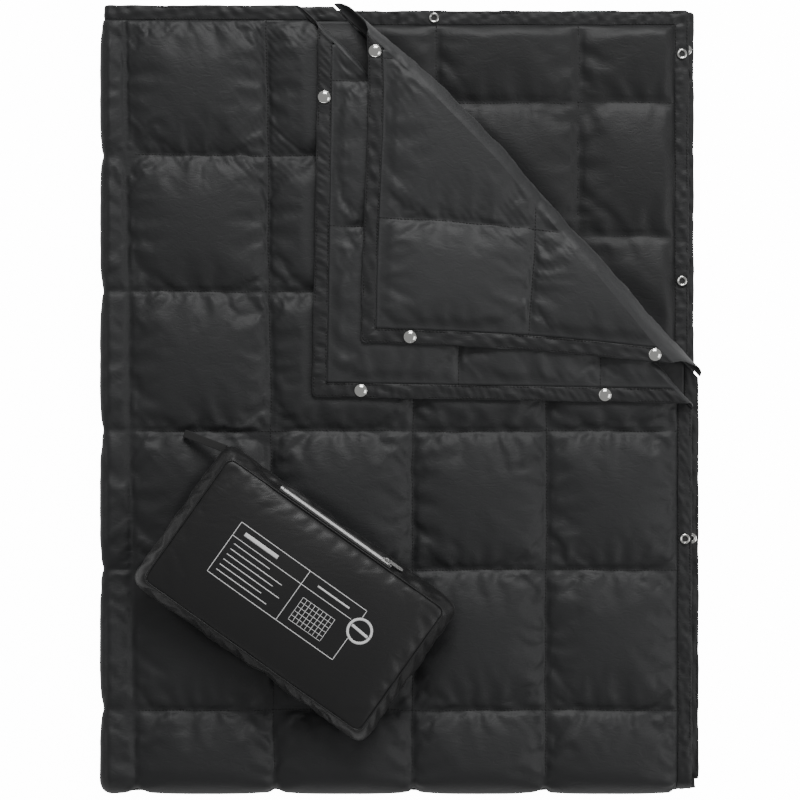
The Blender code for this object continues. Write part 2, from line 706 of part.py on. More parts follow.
def add_snaps(body_snaps, flap_snaps, hinges, collection):
    for layer, places in body_snaps.items():
        kind = "socket" if layer % 2 else "stud"
        for number, place in enumerate(places, 1):
            name = f"layer_{layer}_snap_{number}"
            add_snap(name, kind, place, LAYER_Z[layer], False, collection)
    for layer, places in flap_snaps.items():
        kind = "socket" if layer % 2 else "stud"
        for number, place in enumerate(places, 1):
            name = f"{FLAP_NAMES[layer]}_snap_{number}"
            add_snap(name, kind, place, FLAP_Z[layer], True, collection, hinges[layer])


def main():
    clear_scene()
    quilt = new_collection("camp_quilt")
    cutters = new_collection("cutters")
    between = (LAYER_Z[1] + LAYER_Z[2]) / 2
    beyond = [
        corner_cutter(1, between, STACK_TOP + PITCH, cutters),
        corner_cutter(2, LAYER_Z[3], between, cutters),
    ]
    add_pair("upper_pair", 1, 2, quilt, beyond)
    add_pair("lower_pair", 3, 4, quilt, [])
    for name, upper, lower in (("bottom_fold_outer", 1, 4), ("bottom_fold_inner", 2, 3)):
        radius = (LAYER_Z[upper] - LAYER_Z[lower]) / 2
        right = RIGHT - RIGHT_SETBACK[upper]
        add_bottom_fold(name, radius + LAYER / 2, radius - LAYER / 2, right, quilt)
    body_snaps = add_body_hems(quilt)
    flap_snaps, hinges = {}, {}
    for layer, name in FLAP_NAMES.items():
        hinges[layer] = add_corner_hinge(f"{name}_hinge", layer, quilt)
        flap_snaps[layer] = add_flap(name, layer, hinges[layer], quilt)
        add_corner_roll(f"{name}_roll", layer, quilt)
    add_snaps(body_snaps, flap_snaps, hinges, quilt)
    place = (*POUCH_PLACE, STACK_TOP + GAP)
    pouch = add_empty("pouch_frame", quilt, place, (0, 0, POUCH_TURN))
    zip_frame = add_pouch(quilt, cutters, pouch)
    add_zip(quilt, zip_frame)
    add_pull(quilt, add_slider(quilt, cutters, zip_frame))
    add_hang_loop(quilt, pouch)


if __name__ == "__main__":
    main()
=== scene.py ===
"""Looks of the folded camp quilt and its filled zip pouch, built round the fixed CAD frame.

Each operator makes one piece or group of like pieces in the frame's own metres.
"""

import json
import math

import bmesh
import bpy
import numpy as np
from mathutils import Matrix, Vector
from mathutils.bvhtree import BVHTree


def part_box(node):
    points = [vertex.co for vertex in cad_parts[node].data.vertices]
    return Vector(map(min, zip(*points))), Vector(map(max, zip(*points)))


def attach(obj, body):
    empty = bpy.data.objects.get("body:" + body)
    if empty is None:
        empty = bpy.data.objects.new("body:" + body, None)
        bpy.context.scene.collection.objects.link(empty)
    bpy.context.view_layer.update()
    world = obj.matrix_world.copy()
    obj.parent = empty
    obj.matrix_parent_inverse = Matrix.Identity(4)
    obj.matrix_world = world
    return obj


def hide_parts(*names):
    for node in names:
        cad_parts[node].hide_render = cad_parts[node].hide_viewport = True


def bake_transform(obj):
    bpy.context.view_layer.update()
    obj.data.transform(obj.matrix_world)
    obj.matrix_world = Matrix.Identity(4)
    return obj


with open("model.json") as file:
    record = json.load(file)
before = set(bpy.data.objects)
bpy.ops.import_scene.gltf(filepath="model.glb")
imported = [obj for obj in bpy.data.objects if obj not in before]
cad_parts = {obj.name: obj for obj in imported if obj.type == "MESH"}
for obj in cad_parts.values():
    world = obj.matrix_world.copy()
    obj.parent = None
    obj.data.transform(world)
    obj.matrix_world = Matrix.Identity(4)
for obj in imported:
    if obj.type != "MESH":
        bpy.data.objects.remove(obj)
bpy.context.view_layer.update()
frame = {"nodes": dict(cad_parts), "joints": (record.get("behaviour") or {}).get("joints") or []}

bl_info = {
    "name": "Camp quilt looks",
    "version": (1, 0, 0),
    "blender": (4, 5, 0),
    "location": "3D View > Sidebar > Quilt",
    "description": "Quilted layers, turned-back corner, press snaps and zip pouch of a folded camp quilt",
    "category": "Object",
}

MM = 0.001
TAU = 2 * math.pi

# ---------------------------------------------------------------- places in the frame


def node_points(name):
    """A CAD node's corner points, in metres."""
    mesh = frame["nodes"][name].data
    points = np.empty(len(mesh.vertices) * 3, np.float32)
    mesh.vertices.foreach_get("co", points)
    return points.reshape(-1, 3).astype(float)


def node_box(name):
    """The lowest and highest corner of a CAD node's box."""
    low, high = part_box(name)
    return np.array(low), np.array(high)


def joint(name):
    return next(found for found in frame["joints"] if found["name"] == name)


def middle_z(name):
    low, high = node_box(name)
    return (low[2] + high[2]) / 2


SIDE_HEM = {layer: f"layer_{layer}_right_hem" if layer < 3 else f"layer_{layer}_hem" for layer in (1, 2, 3, 4)}
TOP_HEM = {layer: name.replace("right", "top") for layer, name in SIDE_HEM.items()}
MID = {layer: middle_z(name) for layer, name in SIDE_HEM.items()}
RIGHT = {layer: node_box(name)[1][0] for layer, name in SIDE_HEM.items()}
TOP = {layer: node_box(name)[1][1] for layer, name in TOP_HEM.items()}
HEM = float(np.ptp(node_points("layer_1_right_hem")[:, 0]))
HEM_THICK = float(np.ptp(node_points("layer_1_right_hem")[:, 2]))
PITCH = MID[1] - MID[2]
HALF = node_box("upper_pair_shell")[1][2] - MID[1]
STACK_MID = (MID[1] + MID[4]) / 2
STACK_HALF = MID[1] + HALF - STACK_MID
FOLD_LEFT = node_box("upper_pair_shell")[0][0] + PITCH / 2 + HALF
FOLD_BOTTOM = node_box("bottom_fold_outer")[0][1] + STACK_HALF

OUTWARD = np.array(joint("lower_corner_turn")["axis"][:2])[::-1] * (1, -1)
OUTWARD = np.array((abs(OUTWARD[0]), abs(OUTWARD[1]))) / np.linalg.norm(OUTWARD)
ALONG = np.array((OUTWARD[1], -OUTWARD[0]))
CORNERS = {1: "lower_corner", 2: "upper_corner"}
FLAP_MID = {layer: middle_z(f"{name}_hem") for layer, name in CORNERS.items()}
ROLL_REACH = {layer: node_points(f"{name}_roll")[:, :2] @ OUTWARD for layer, name in CORNERS.items()}
ROLL_NEAR = {layer: float(reach.min()) for layer, reach in ROLL_REACH.items()}
ROLL_FAR = {layer: float(reach.max()) for layer, reach in ROLL_REACH.items()}


def flap_axes(layer):
    """The flap's corner and the directions of its bottom and left edges, in the plan."""
    points = node_points(f"{CORNERS[layer]}_hem")[:, :2]
    corner = points[np.argmin(points.sum(1))]
    turn = 2 * math.atan2(OUTWARD[0], OUTWARD[1]) - math.pi / 2
    return corner, np.array((math.cos(turn), -math.sin(turn))), np.array((math.sin(turn), math.cos(turn)))


def at_reach(reach, x=None, y=None):
    """Where a line along the length or the width meets a line along the fold."""
    if x is None:
        return np.array(((reach - OUTWARD[1] * y) / OUTWARD[0], y))
    return np.array((x, (reach - OUTWARD[0] * x) / OUTWARD[1]))


# ---------------------------------------------------------------- small number helpers


def smooth(low, high, value):
    """From 0 at low to 1 at high, easing in and out."""
    share = np.clip((value - low) / (high - low), 0, 1)
    return share * share * (3 - 2 * share)


def waves(where, scale, seed, count=5):
    """Smooth wandering numbers between about -1 and 1."""
    rng = np.random.default_rng(seed)
    total = np.zeros(np.shape(where))
    for step in range(count):
        size = 1 / (1 + step)
        total += size * np.sin(np.asarray(where) / scale * (0.7 + step) + rng.uniform(0, TAU))
    return total / 2


def rough_patch(x, y, scale, seed, count=9):
    """Smooth wandering numbers over a plane."""
    rng = np.random.default_rng(seed)
    total = np.zeros(np.broadcast(x, y).shape)
    for _ in range(count):
        turn, step = rng.uniform(0, TAU), scale * rng.uniform(0.7, 1.6)
        total += np.sin((x * math.cos(turn) + y * math.sin(turn)) / step * TAU + rng.uniform(0, TAU))
    return total / math.sqrt(count)


# ---------------------------------------------------------------- mesh helpers


def crease_columns(obj, columns, sharp):
    """Keeps a hard edge in the shading along some columns of a lofted skin."""
    mesh = obj.data
    pairs = np.empty(len(mesh.edges) * 2, np.int64)
    mesh.edges.foreach_get("vertices", pairs)
    pairs = pairs.reshape(-1, 2)
    hard = np.isin(pairs % columns, sharp).all(1) & (pairs[:, 0] % columns == pairs[:, 1] % columns)
    mark = mesh.attributes.get("sharp_edge") or mesh.attributes.new("sharp_edge", "BOOLEAN", "EDGE")
    mark.data.foreach_set("value", hard)
    return obj


def new_object(name, points, faces, material, smooth_faces=True):
    """A mesh object in the scene."""
    mesh = bpy.data.meshes.new(name)
    mesh.from_pydata(np.asarray(points).reshape(-1, 3).tolist(), [], faces)
    mesh.materials.append(material)
    if smooth_faces:
        mesh.polygons.foreach_set("use_smooth", np.ones(len(mesh.polygons), bool))
    mesh.update()
    obj = bpy.data.objects.new(name, mesh)
    bpy.context.scene.collection.objects.link(obj)
    return obj


def grid_faces(rows, columns, wrap=True, first=0):
    """Quads of a grid, closed along its rows if it wraps."""
    last = columns if wrap else columns - 1
    r, c = np.meshgrid(np.arange(rows - 1), np.arange(last), indexing="ij")
    n = (c + 1) % columns
    quads = np.stack([r * columns + c, r * columns + n, (r + 1) * columns + n, (r + 1) * columns + c], -1)
    return (quads.reshape(-1, 4) + first).tolist()


def loft(rings, caps=True):
    """Points and faces of a skin over closed rings, all with as many points."""
    rings = np.asarray(rings, float)
    rows, columns = rings.shape[:2]
    faces = grid_faces(rows, columns)
    if caps:
        faces.append(list(range(columns))[::-1])
        faces.append([(rows - 1) * columns + c for c in range(columns)])
    return rings.reshape(-1, 3), faces


def join_parts(parts):
    """Several (points, faces) as one."""
    points, faces, first = [], [], 0
    for some_points, some_faces in parts:
        some_points = np.asarray(some_points, float).reshape(-1, 3)
        points.append(some_points)
        faces += [[corner + first for corner in face] for face in some_faces]
        first += len(some_points)
    return np.concatenate(points), faces


def mend_normals(obj):
    """Turns every face outward."""
    shape = bmesh.new()
    shape.from_mesh(obj.data)
    bmesh.ops.recalc_face_normals(shape, faces=shape.faces)
    shape.to_mesh(obj.data)
    shape.free()
    return obj


def tube_along(path, ring, sideways=None):
    """A ring of (across, up) points carried along a path, kept level."""
    path = np.asarray(path, float)
    way = np.gradient(path, axis=0)
    way /= np.linalg.norm(way, axis=1, keepdims=True)
    if sideways is None:
        across = np.cross(way, (0, 0, 1.0))
    else:
        across = np.broadcast_to(np.asarray(sideways, float), path.shape)
    across = across / np.linalg.norm(across, axis=1, keepdims=True)
    up = np.cross(across, way)
    ring = np.asarray(ring, float)
    if ring.ndim == 2:
        ring = np.broadcast_to(ring, (len(path), *ring.shape))
    return path[:, None] + across[:, None] * ring[..., :1] + up[:, None] * ring[..., 1:]


def oval(width, height, sides=12, power=1.0):
    """Points round an oval, squarer for a smaller power."""
    turn = np.arange(sides) / sides * TAU
    spans = ((np.cos(turn), width), (np.sin(turn), height))
    return np.stack([np.sign(part) * np.abs(part) ** power * span / 2 for part, span in spans], -1)


def resample(path, step):
    """Places at even steps along a path."""
    path = np.asarray(path, float)
    run = np.concatenate([[0], np.cumsum(np.linalg.norm(np.diff(path, axis=0), axis=1))])
    places = np.linspace(0, run[-1], max(2, int(round(run[-1] / step)) + 1))
    return np.stack([np.interp(places, run, path[:, k]) for k in range(path.shape[1])], -1)


# ---------------------------------------------------------------- simulated quilting

CELL = 0.162  # one square of the quilting, seam to seam
CELLS = (5, 6)
CELL_STEPS = 36
SIM_FRAMES = 18
BROAD_PASSES = 14  # smoothing that parts the broad puff from the puckers
quilting = {}


def relax_cloth(name, points, faces, pinned, pressure, stretch, bending, frames=SIM_FRAMES):
    """Blows cloth up between pinned points, with more cloth than the span so that it puckers."""
    mesh = bpy.data.meshes.new(name)
    mesh.from_pydata(points.tolist(), [], faces)
    obj = bpy.data.objects.new(name, mesh)
    scene = bpy.context.scene
    scene.collection.objects.link(obj)
    group = obj.vertex_groups.new(name="seams")
    group.add([int(i) for i in pinned], 1.0, "REPLACE")
    modifier = obj.modifiers.new("cloth", "CLOTH")
    settings = modifier.settings
    settings.quality = 5
    settings.vertex_group_mass = "seams"
    settings.pin_stiffness = 50
    settings.shear_stiffness = 5
    settings.bending_stiffness = bending
    settings.shrink_min = -stretch
    settings.use_pressure = True
    settings.uniform_pressure_force = pressure
    settings.effector_weights.gravity = 0
    modifier.collision_settings.use_collision = False
    modifier.collision_settings.use_self_collision = False
    scene.frame_start, scene.frame_end = 1, frames
    modifier.point_cache.frame_end = frames
    for step in range(1, frames + 1):
        scene.frame_set(step)
    bpy.context.view_layer.objects.active = obj
    bpy.ops.object.modifier_apply(modifier="cloth")
    result = np.empty(len(mesh.vertices) * 3, np.float32)
    obj.data.vertices.foreach_get("co", result)
    scene.frame_set(1)
    bpy.data.objects.remove(obj)
    return result.reshape(-1, 3).astype(float)


def make_quilting():
    """The puffed squares as a grid of sideways offsets, shares of the full puff and heights of the puckers."""
    if "field" in quilting:
        return quilting["field"]
    steps = CELL_STEPS
    columns, rows = CELLS[0] * steps + 1, CELLS[1] * steps + 1
    gx, gy = np.meshgrid(np.arange(columns), np.arange(rows))
    x, y = gx / steps * CELL, gy / steps * CELL
    crown = np.abs(np.sin(math.pi * gx / steps) * np.sin(math.pi * gy / steps))
    rng = np.random.default_rng(7)
    noise = rng.normal(0, 1, (rows, columns))
    for _ in range(3):
        noise = (noise + sum(np.roll(noise, way, axis) for way in (1, -1) for axis in (0, 1))) / 5
    seams = (gx % steps == 0) | (gy % steps == 0)
    z = np.where(seams, 0, 4 * MM * crown**0.6 + 2 * MM * noise)
    points = np.stack([x, y, z], -1).reshape(-1, 3)
    faces = grid_faces(rows, columns, wrap=False)
    pinned = np.flatnonzero(seams)
    moved = relax_cloth("quilt_cloth", points, faces, pinned, pressure=3.0, stretch=0.055, bending=0.4)
    off = moved.reshape(rows, columns, 3) - np.stack([x, y, x * 0], -1)
    rise = off[..., 2]
    broad = rise.copy()
    for _ in range(BROAD_PASSES):
        wide = np.pad(broad, 1, mode="edge")
        broad = (wide[:-2, 1:-1] + wide[2:, 1:-1] + wide[1:-1, :-2] + wide[1:-1, 2:]) / 4
    share = 0.42 * broad / np.percentile(broad, 92) + 0.58 * crown**0.4
    folds = (rise - broad) * (1 - 0.72 * crown**1.2)
    off = np.concatenate([off[..., :2], share[..., None], folds[..., None]], -1)
    quilting["field"] = (off, steps)
    return quilting["field"]


def quilting_at(u, v):
    """Offsets at (u, v), counted in squares, read smoothly from the simulated grid."""
    off, steps = make_quilting()
    rows, columns = off.shape[:2]
    x = np.clip(np.asarray(u) * steps, 0, columns - 1.001)
    y = np.clip(np.asarray(v) * steps, 0, rows - 1.001)
    x0, y0 = np.floor(x).astype(int), np.floor(y).astype(int)
    fx, fy = (x - x0)[..., None], (y - y0)[..., None]

    def weights(f):
        return (
            -0.5 * f + f * f - 0.5 * f**3,
            1 - 2.5 * f * f + 1.5 * f**3,
            0.5 * f + 2 * f * f - 1.5 * f**3,
            -0.5 * f * f + 0.5 * f**3,
        )

    total = 0
    for j, wy in enumerate(weights(fy)):
        yy = np.clip(y0 + j - 1, 0, rows - 1)
        row = 0
        for i, wx in enumerate(weights(fx)):
            row = row + wx * off[yy, np.clip(x0 + i - 1, 0, columns - 1)]
        total = total + wy * row
    return total


# ---------------------------------------------------------------- finishes


def shared_group(name, fill, inputs, outputs=(("Height", "Float"), ("Mask", "Float"))):
    """A shader node group, built once: fill makes its nodes from the object's place and returns its outputs."""
    group = bpy.data.node_groups.get(name)
    if group:
        return group
    group = bpy.data.node_groups.new(name, "ShaderNodeTree")
    for socket, default in inputs:
        kind = "Color" if isinstance(default, tuple) else "Float"
        made = group.interface.new_socket(socket, in_out="INPUT", socket_type=f"NodeSocket{kind}")
        made.default_value = default
    for socket, kind in outputs:
        group.interface.new_socket(socket, in_out="OUTPUT", socket_type=f"NodeSocket{kind}")
    given = group.nodes.new("NodeGroupInput").outputs
    out = group.nodes.new("NodeGroupOutput").inputs
    place = group.nodes.new("ShaderNodeTexCoord").outputs["Object"]
    for (socket, _), value in zip(outputs, fill(group, given, place)):
        group.links.new(value, out[socket])
    return group


def math_node(group, operation, a, b=None, third=None):
    """A math node on sockets or numbers."""
    node = group.nodes.new("ShaderNodeMath")
    node.operation = operation
    for slot, value in enumerate((a, b, third)):
        if value is None:
            continue
        if isinstance(value, (int, float)):
            node.inputs[slot].default_value = value
        else:
            group.links.new(value, node.inputs[slot])
    return node.outputs[0]


def noise_node(group, place, scale, detail=2.0, distortion=0.0):
    """The factor of a noise texture at a place."""
    node = group.nodes.new("ShaderNodeTexNoise")
    node.inputs["Detail"].default_value = detail
    node.inputs["Distortion"].default_value = distortion
    group.links.new(place, node.inputs["Vector"])
    if isinstance(scale, (int, float)):
        node.inputs["Scale"].default_value = scale
    else:
        group.links.new(scale, node.inputs["Scale"])
    return node.outputs["Fac"]


def mix_node(group, share, low, high):
    """Mixes two colours, each given as a socket or as a plain colour."""
    mix = group.nodes.new("ShaderNodeMix")
    mix.data_type = "RGBA"
    group.links.new(share, mix.inputs["Factor"])
    for slot, colour in ((6, low), (7, high)):
        if isinstance(colour, bpy.types.NodeSocket):
            group.links.new(colour, mix.inputs[slot])
        else:
            mix.inputs[slot].default_value = (*colour, 1)
    return mix.outputs[2]


def weave(group, given, place):
    """Plain weave: threads over and under each other, as a height and a thread mask."""
    split = group.nodes.new("ShaderNodeSeparateXYZ")
    group.links.new(place, split.inputs[0])
    turns = math_node(group, "MULTIPLY", given[0], math.pi)
    wander = math_node(group, "MULTIPLY", noise_node(group, place, 60.0), 0.003)
    runs = [math_node(group, "ADD", split.outputs[axis], wander) for axis in (0, 1)]
    threads = [math_node(group, "SINE", math_node(group, "MULTIPLY", run, turns)) for run in runs]
    height = math_node(group, "MULTIPLY_ADD", math_node(group, "MULTIPLY", *threads), 0.5, 0.5)
    return height, math_node(group, "POWER", height, 0.7)


def creases(group, given, place):
    """Fine crinkles of light nylon, longer one way than the other."""
    stretch = group.nodes.new("ShaderNodeMapping")
    stretch.inputs["Scale"].default_value = (1.0, 1.9, 1.0)
    stretch.inputs["Rotation"].default_value = (0, 0, 0.5)
    group.links.new(place, stretch.inputs["Vector"])
    broad = noise_node(group, stretch.outputs[0], given[0], 4.0, 0.7)
    ridge = math_node(group, "ABSOLUTE", math_node(group, "SUBTRACT", broad, 0.5))
    height = math_node(group, "SUBTRACT", 1.0, math_node(group, "MULTIPLY", ridge, 4.0))
    return height, noise_node(group, place, 22.0, 3.0)


def cloth_tone(group, given, place):
    """Uneven dyeing and rubbed high spots: mixes a cloth's two tones."""
    patches = noise_node(group, place, 9.0, 3.0)
    specks = noise_node(group, place, 900.0, 2.0)
    share = math_node(group, "MULTIPLY_ADD", specks, 0.5, math_node(group, "MULTIPLY", patches, 0.55))
    share = math_node(group, "MULTIPLY", share, math_node(group, "MULTIPLY_ADD", given[2], 0.5, 0.75))
    return mix_node(group, share, given[0], given[1]), math_node(group, "MULTIPLY_ADD", patches, 0.16, -0.08)


def scuffs(group, given, place):
    """Tiny scuffs on metal and moulded parts."""
    soft = noise_node(group, place, math_node(group, "MULTIPLY", given[0], 0.35), 2.0)
    return noise_node(group, place, given[0], 4.0, 1.5), soft


def placed(tree, group, **values):
    """A group's node in a material, with its inputs set."""
    node = tree.nodes.new("ShaderNodeGroup")
    node.node_tree = group
    for socket, value in values.items():
        node.inputs[socket.replace("_", " ")].default_value = value
    return node


def bumped(tree, height, strength, distance, under=None):
    """A normal from a height, over another normal where one is given."""
    node = tree.nodes.new("ShaderNodeBump")
    node.inputs["Strength"].default_value = strength
    node.inputs["Distance"].default_value = distance
    tree.links.new(height, node.inputs["Height"])
    if under:
        tree.links.new(under, node.inputs["Normal"])
    return node.outputs[0]


def blank_material(name):
    """A new node material, its tree and its Principled shader."""
    made = bpy.data.materials.new(name)
    made.use_nodes = True
    return made, made.node_tree, made.node_tree.nodes["Principled BSDF"]


def feed(tree, shader, colour, rough, normal, **constants):
    """Joins a material's nodes to its shader and sets the shader's constants."""
    for socket, value in (("Base Color", colour), ("Roughness", rough), ("Normal", normal)):
        tree.links.new(value, shader.inputs[socket])
    for socket, value in constants.items():
        shader.inputs[socket.replace("_", " ")].default_value = value


def cloth_finish(name, deep, light, roughness, threads=2500.0, crinkle=0.35, thread_bump=0.12, sheen=0.1, scale=70.0):
    """Woven synthetic cloth: thread weave, crinkles, two tones and a soft sheen."""
    found = bpy.data.materials.get(name)
    if found:
        return found
    made, tree, shader = blank_material(name)
    weave_made = shared_group("Plain weave", weave, [("Threads per metre", 2500.0)])
    woven = placed(tree, weave_made, Threads_per_metre=threads)
    creased = placed(tree, shared_group("Fine creases", creases, [("Scale", 70.0)]), Scale=scale)
    toned = shared_group(
        "Cloth tone",
        cloth_tone,
        [("Deep", (0.02, 0.02, 0.02, 1)), ("Light", (0.04, 0.04, 0.04, 1)), ("Thread", 0.5)],
        (("Color", "Color"), ("Roughness shift", "Float")),
    )
    tone = placed(tree, toned, Deep=(*deep, 1), Light=(*light, 1))
    tree.links.new(woven.outputs["Mask"], tone.inputs["Thread"])
    rough = math_node(tree, "ADD", tone.outputs["Roughness shift"], roughness)
    fine = bumped(tree, woven.outputs["Height"], thread_bump, 0.1 * MM)
    normal = bumped(tree, creased.outputs["Height"], crinkle, 0.7 * MM, fine)
    constants = {"Sheen_Weight": sheen, "Sheen_Roughness": 0.4, "Specular_IOR_Level": 0.42}
    feed(tree, shader, tone.outputs["Color"], rough, normal, **constants)
    return made


def hard_finish(name, colour, roughness, metallic, scuff=0.05):
    """Steel, coated metal or moulded plastic with slight scuffs."""
    found = bpy.data.materials.get(name)
    if found:
        return found
    made, tree, shader = blank_material(name)
    worn = placed(tree, shared_group("Scuffs", scuffs, [("Scale", 400.0)])).outputs
    mixed = mix_node(tree, worn["Mask"], [c * 0.8 for c in colour], colour)
    rough = math_node(tree, "MULTIPLY_ADD", worn["Mask"], 0.2, roughness - 0.1)
    feed(tree, shader, mixed, rough, bumped(tree, worn["Height"], scuff, 0.1 * MM), Metallic=metallic)
    return made


# ---------------------------------------------------------------- quilted squares of each face

# Seam lines of a face in metres, the count of the first one, and how far each leans over the length
TOP_SQUARES = {
    "x": ((-482, -315.6, -151, 15, 171.6, 324), 0, (-6.4, -6.4, -5, 0, 2.3, 0)),
    "y": ((-524, -362, -198, -36, 127, 286, 444), 0, (0,) * 7),
}
THIRD_SQUARES = {
    "x": ((-457, -290, -124, 43, 210, 374), 0, (0,) * 6),
    "y": ((-445, -285, -125, 35, 192.5, 350, 510), 0, (0,) * 7),
}
FLAP_SQUARES = {
    1: {"x": ((17, 170.7, 334.7, 500), 0, (0,) * 4), "y": ((17, 200.5, 369.5, 530), 3, (0,) * 4)},
    2: {"x": ((17, 193.5, 350, 510), 1, (0, 5, 0, 0)), "y": ((17, 145.5, 326.5, 490), 1, (0, -23, 0, 0))},
}
LEAN_SPAN = 461 * MM
PINCHED = 1.0 * MM  # cloth above a layer's middle at a seam
WANDER = 1.3 * MM
PUCKER = 0.8  # share of the simulated puckers that the batting lets through


def seam_line(squares, axis, number, other):
    """Where a seam runs, for places along it."""
    knots, _, lean = squares[axis]
    wander = WANDER * waves(other, 0.03, 11 * number + (3 if axis == "x" else 5))
    return knots[number] * MM + lean[number] * MM * other / LEAN_SPAN + wander


def seam_path(squares, axis, number, run):
    """A seam's two coordinates, at places along it."""
    line = seam_line(squares, axis, number, run)
    return (line, run) if axis == "x" else (run, line)


def on_face(x, y, z):
    """Points for stitches, just clear of the cloth."""
    return np.stack([x, y, z + 0.1 * MM], -1)


def square_counts(squares, x, y):
    """Places counted in squares from the first seam, both ways."""
    counts = []
    for axis, run, other in (("x", x, y), ("y", y, x)):
        lines = [seam_line(squares, axis, number, other) for number in range(len(squares[axis][0]))]
        count = squares[axis][1] + sum(
            np.clip((run - low) / (high - low), 0, 1) for low, high in zip(lines, lines[1:])
        )
        counts.append(count)
    return counts


def puffed(squares, x, y, high, shift=(0, 0)):
    """Height over the layer's middle and sideways offsets, for a face whose squares rise to high."""
    u, v = square_counts(squares, x, y)
    off = quilting_at((u + shift[0]) % CELLS[0], (v + shift[1]) % CELLS[1])
    part = np.asarray(high) / (HALF + 7 * MM)
    rise = PINCHED + (high - PINCHED) * off[..., 2] + off[..., 3] * PUCKER * part
    return np.maximum(rise, PINCHED * 0.5), off[..., :2] * 0.6 * part[..., None]


def square_crown(squares, x, y, power):
    """From 0 on the seams to 1 in the middle of each square, flatter for a smaller power."""
    u, v = square_counts(squares, x, y)
    return np.abs(np.sin(math.pi * u) * np.sin(math.pi * v)) ** power


def soft_cap(value, limit, width=1.5 * MM):
    """The smaller of two heights, with a rounded change-over."""
    gap = np.clip((value - limit) / width, -1, 1)
    return np.minimum(value, limit) - width * 0.25 * (1 - np.abs(gap)) ** 2


# ---------------------------------------------------------------- what lies on what

POUCH_TURN = math.atan2(-joint("zip_run")["axis"][1], -joint("zip_run")["axis"][0])
POUCH_X = np.array((math.cos(POUCH_TURN), math.sin(POUCH_TURN)))
POUCH_Y = np.array((-POUCH_X[1], POUCH_X[0]))
POUCH_LOW, POUCH_HIGH = node_box("pouch_bottom_panel")
POUCH_CENTRE = (POUCH_LOW[:2] + POUCH_HIGH[:2]) / 2
POUCH_FLOOR = POUCH_LOW[2]


def pouch_local(x, y):
    """Places in the pouch's own plan, from its centre."""
    dx, dy = x - POUCH_CENTRE[0], y - POUCH_CENTRE[1]
    return dx * POUCH_X[0] + dy * POUCH_X[1], dx * POUCH_Y[0] + dy * POUCH_Y[1]


def rounded_box_distance(u, v, half_u, half_v, corner):
    """Distance outside a rounded rectangle, negative inside it."""
    du, dv = np.abs(u) - (half_u - corner), np.abs(v) - (half_v - corner)
    outside = np.hypot(np.maximum(du, 0), np.maximum(dv, 0))
    return outside + np.minimum(np.maximum(du, dv), 0) - corner


def flap_local(layer, x, y):
    """Distances in from the flap's left edge and bottom edge."""
    corner, right, up = flap_axes(layer)
    dx, dy = x - corner[0], y - corner[1]
    return dx * right[0] + dy * right[1], dx * up[0] + dy * up[1]


def flap_plan(layer, e, d):
    """The place in the plan that lies in from the flap's edges by these distances."""
    corner, right, up = flap_axes(layer)
    return tuple(corner[k] + e * right[k] + d * up[k] for k in (0, 1))


def reach_of(x, y):
    """Distance outward, at right angles to the fold."""
    return x * OUTWARD[0] + y * OUTWARD[1]


def room_over(layer, x, y):
    """How high the face under a flap may rise over its own middle, by the distance in from the flap's edges."""
    e, d = flap_local(layer, x, y)
    inside = np.minimum(e, d)
    under_it = HALF - (1.3 if layer == 1 else 0.3) * MM
    by_hem, clear = 1 - smooth(14 * MM, 26 * MM, inside), 1 - smooth(-30 * MM, 0, inside)
    return under_it + 4.5 * MM * by_hem + 6 * MM * clear


POUCH_HALF = (151 * MM, 85.5 * MM)  # outline of the pouch's seams
POUCH_CORNER = 9 * MM


def room_under_pouch(x, y):
    """How high the face under the pouch may rise: least under its seams, where it rests."""
    u, v = pouch_local(x, y)
    away = rounded_box_distance(u, v, *POUCH_HALF, POUCH_CORNER)
    return HALF - 0.4 * MM + 5 * MM * smooth(-34 * MM, -2 * MM, away) + 5 * MM * smooth(5 * MM, 34 * MM, away)


# ---------------------------------------------------------------- layers

ROW_STEP = 3.2 * MM
LOWER_ROW_STEP = 4.6 * MM
FLAP_STEPS = 130
FLAP_ROW_STEP = 3 * MM
ROLL_ROW_STEP = 3.4 * MM


def top_face_height(settings, x, y):
    """The first layer's upper face, held down by the corner and the pouch that lie on it."""
    high = HALF + settings.loft
    rise, sideways = puffed(TOP_SQUARES, x, y, high)
    rise = soft_cap(rise, room_over(1, x, y))
    rise = soft_cap(rise, room_under_pouch(x, y))
    return rise, sideways


def third_face_height(settings, x, y):
    """The third layer's upper face, which puffs up beyond the turned-back corner only."""
    free = smooth(ROLL_FAR[2] - 6 * MM, ROLL_FAR[2] + 26 * MM, reach_of(x, y))
    high = HALF - 0.4 * MM + (settings.loft - 2.5 * MM) * free
    rise, sideways = puffed(THIRD_SQUARES, x, y, high, (1, 2))
    edge = np.minimum(RIGHT[3] - HEM - x, TOP[3] - HEM - y) + 3 * MM * waves(x + y, 0.019, 31)
    pinch = smooth(-3 * MM, 13 * MM, edge)
    return PINCHED + (rise - PINCHED) * pinch, sideways * pinch[..., None]


def hidden_height(x, y, ends):
    """A face between layers: full to its room, pinched at hems."""
    edge = np.minimum(ends - x, min(TOP[1], TOP[3]) - HEM - y)
    soft = square_crown(TOP_SQUARES, x, y, 0.3)
    return PINCHED + (HALF - 0.3 * MM - PINCHED) * np.minimum(soft, smooth(-1 * MM, 26 * MM, edge))


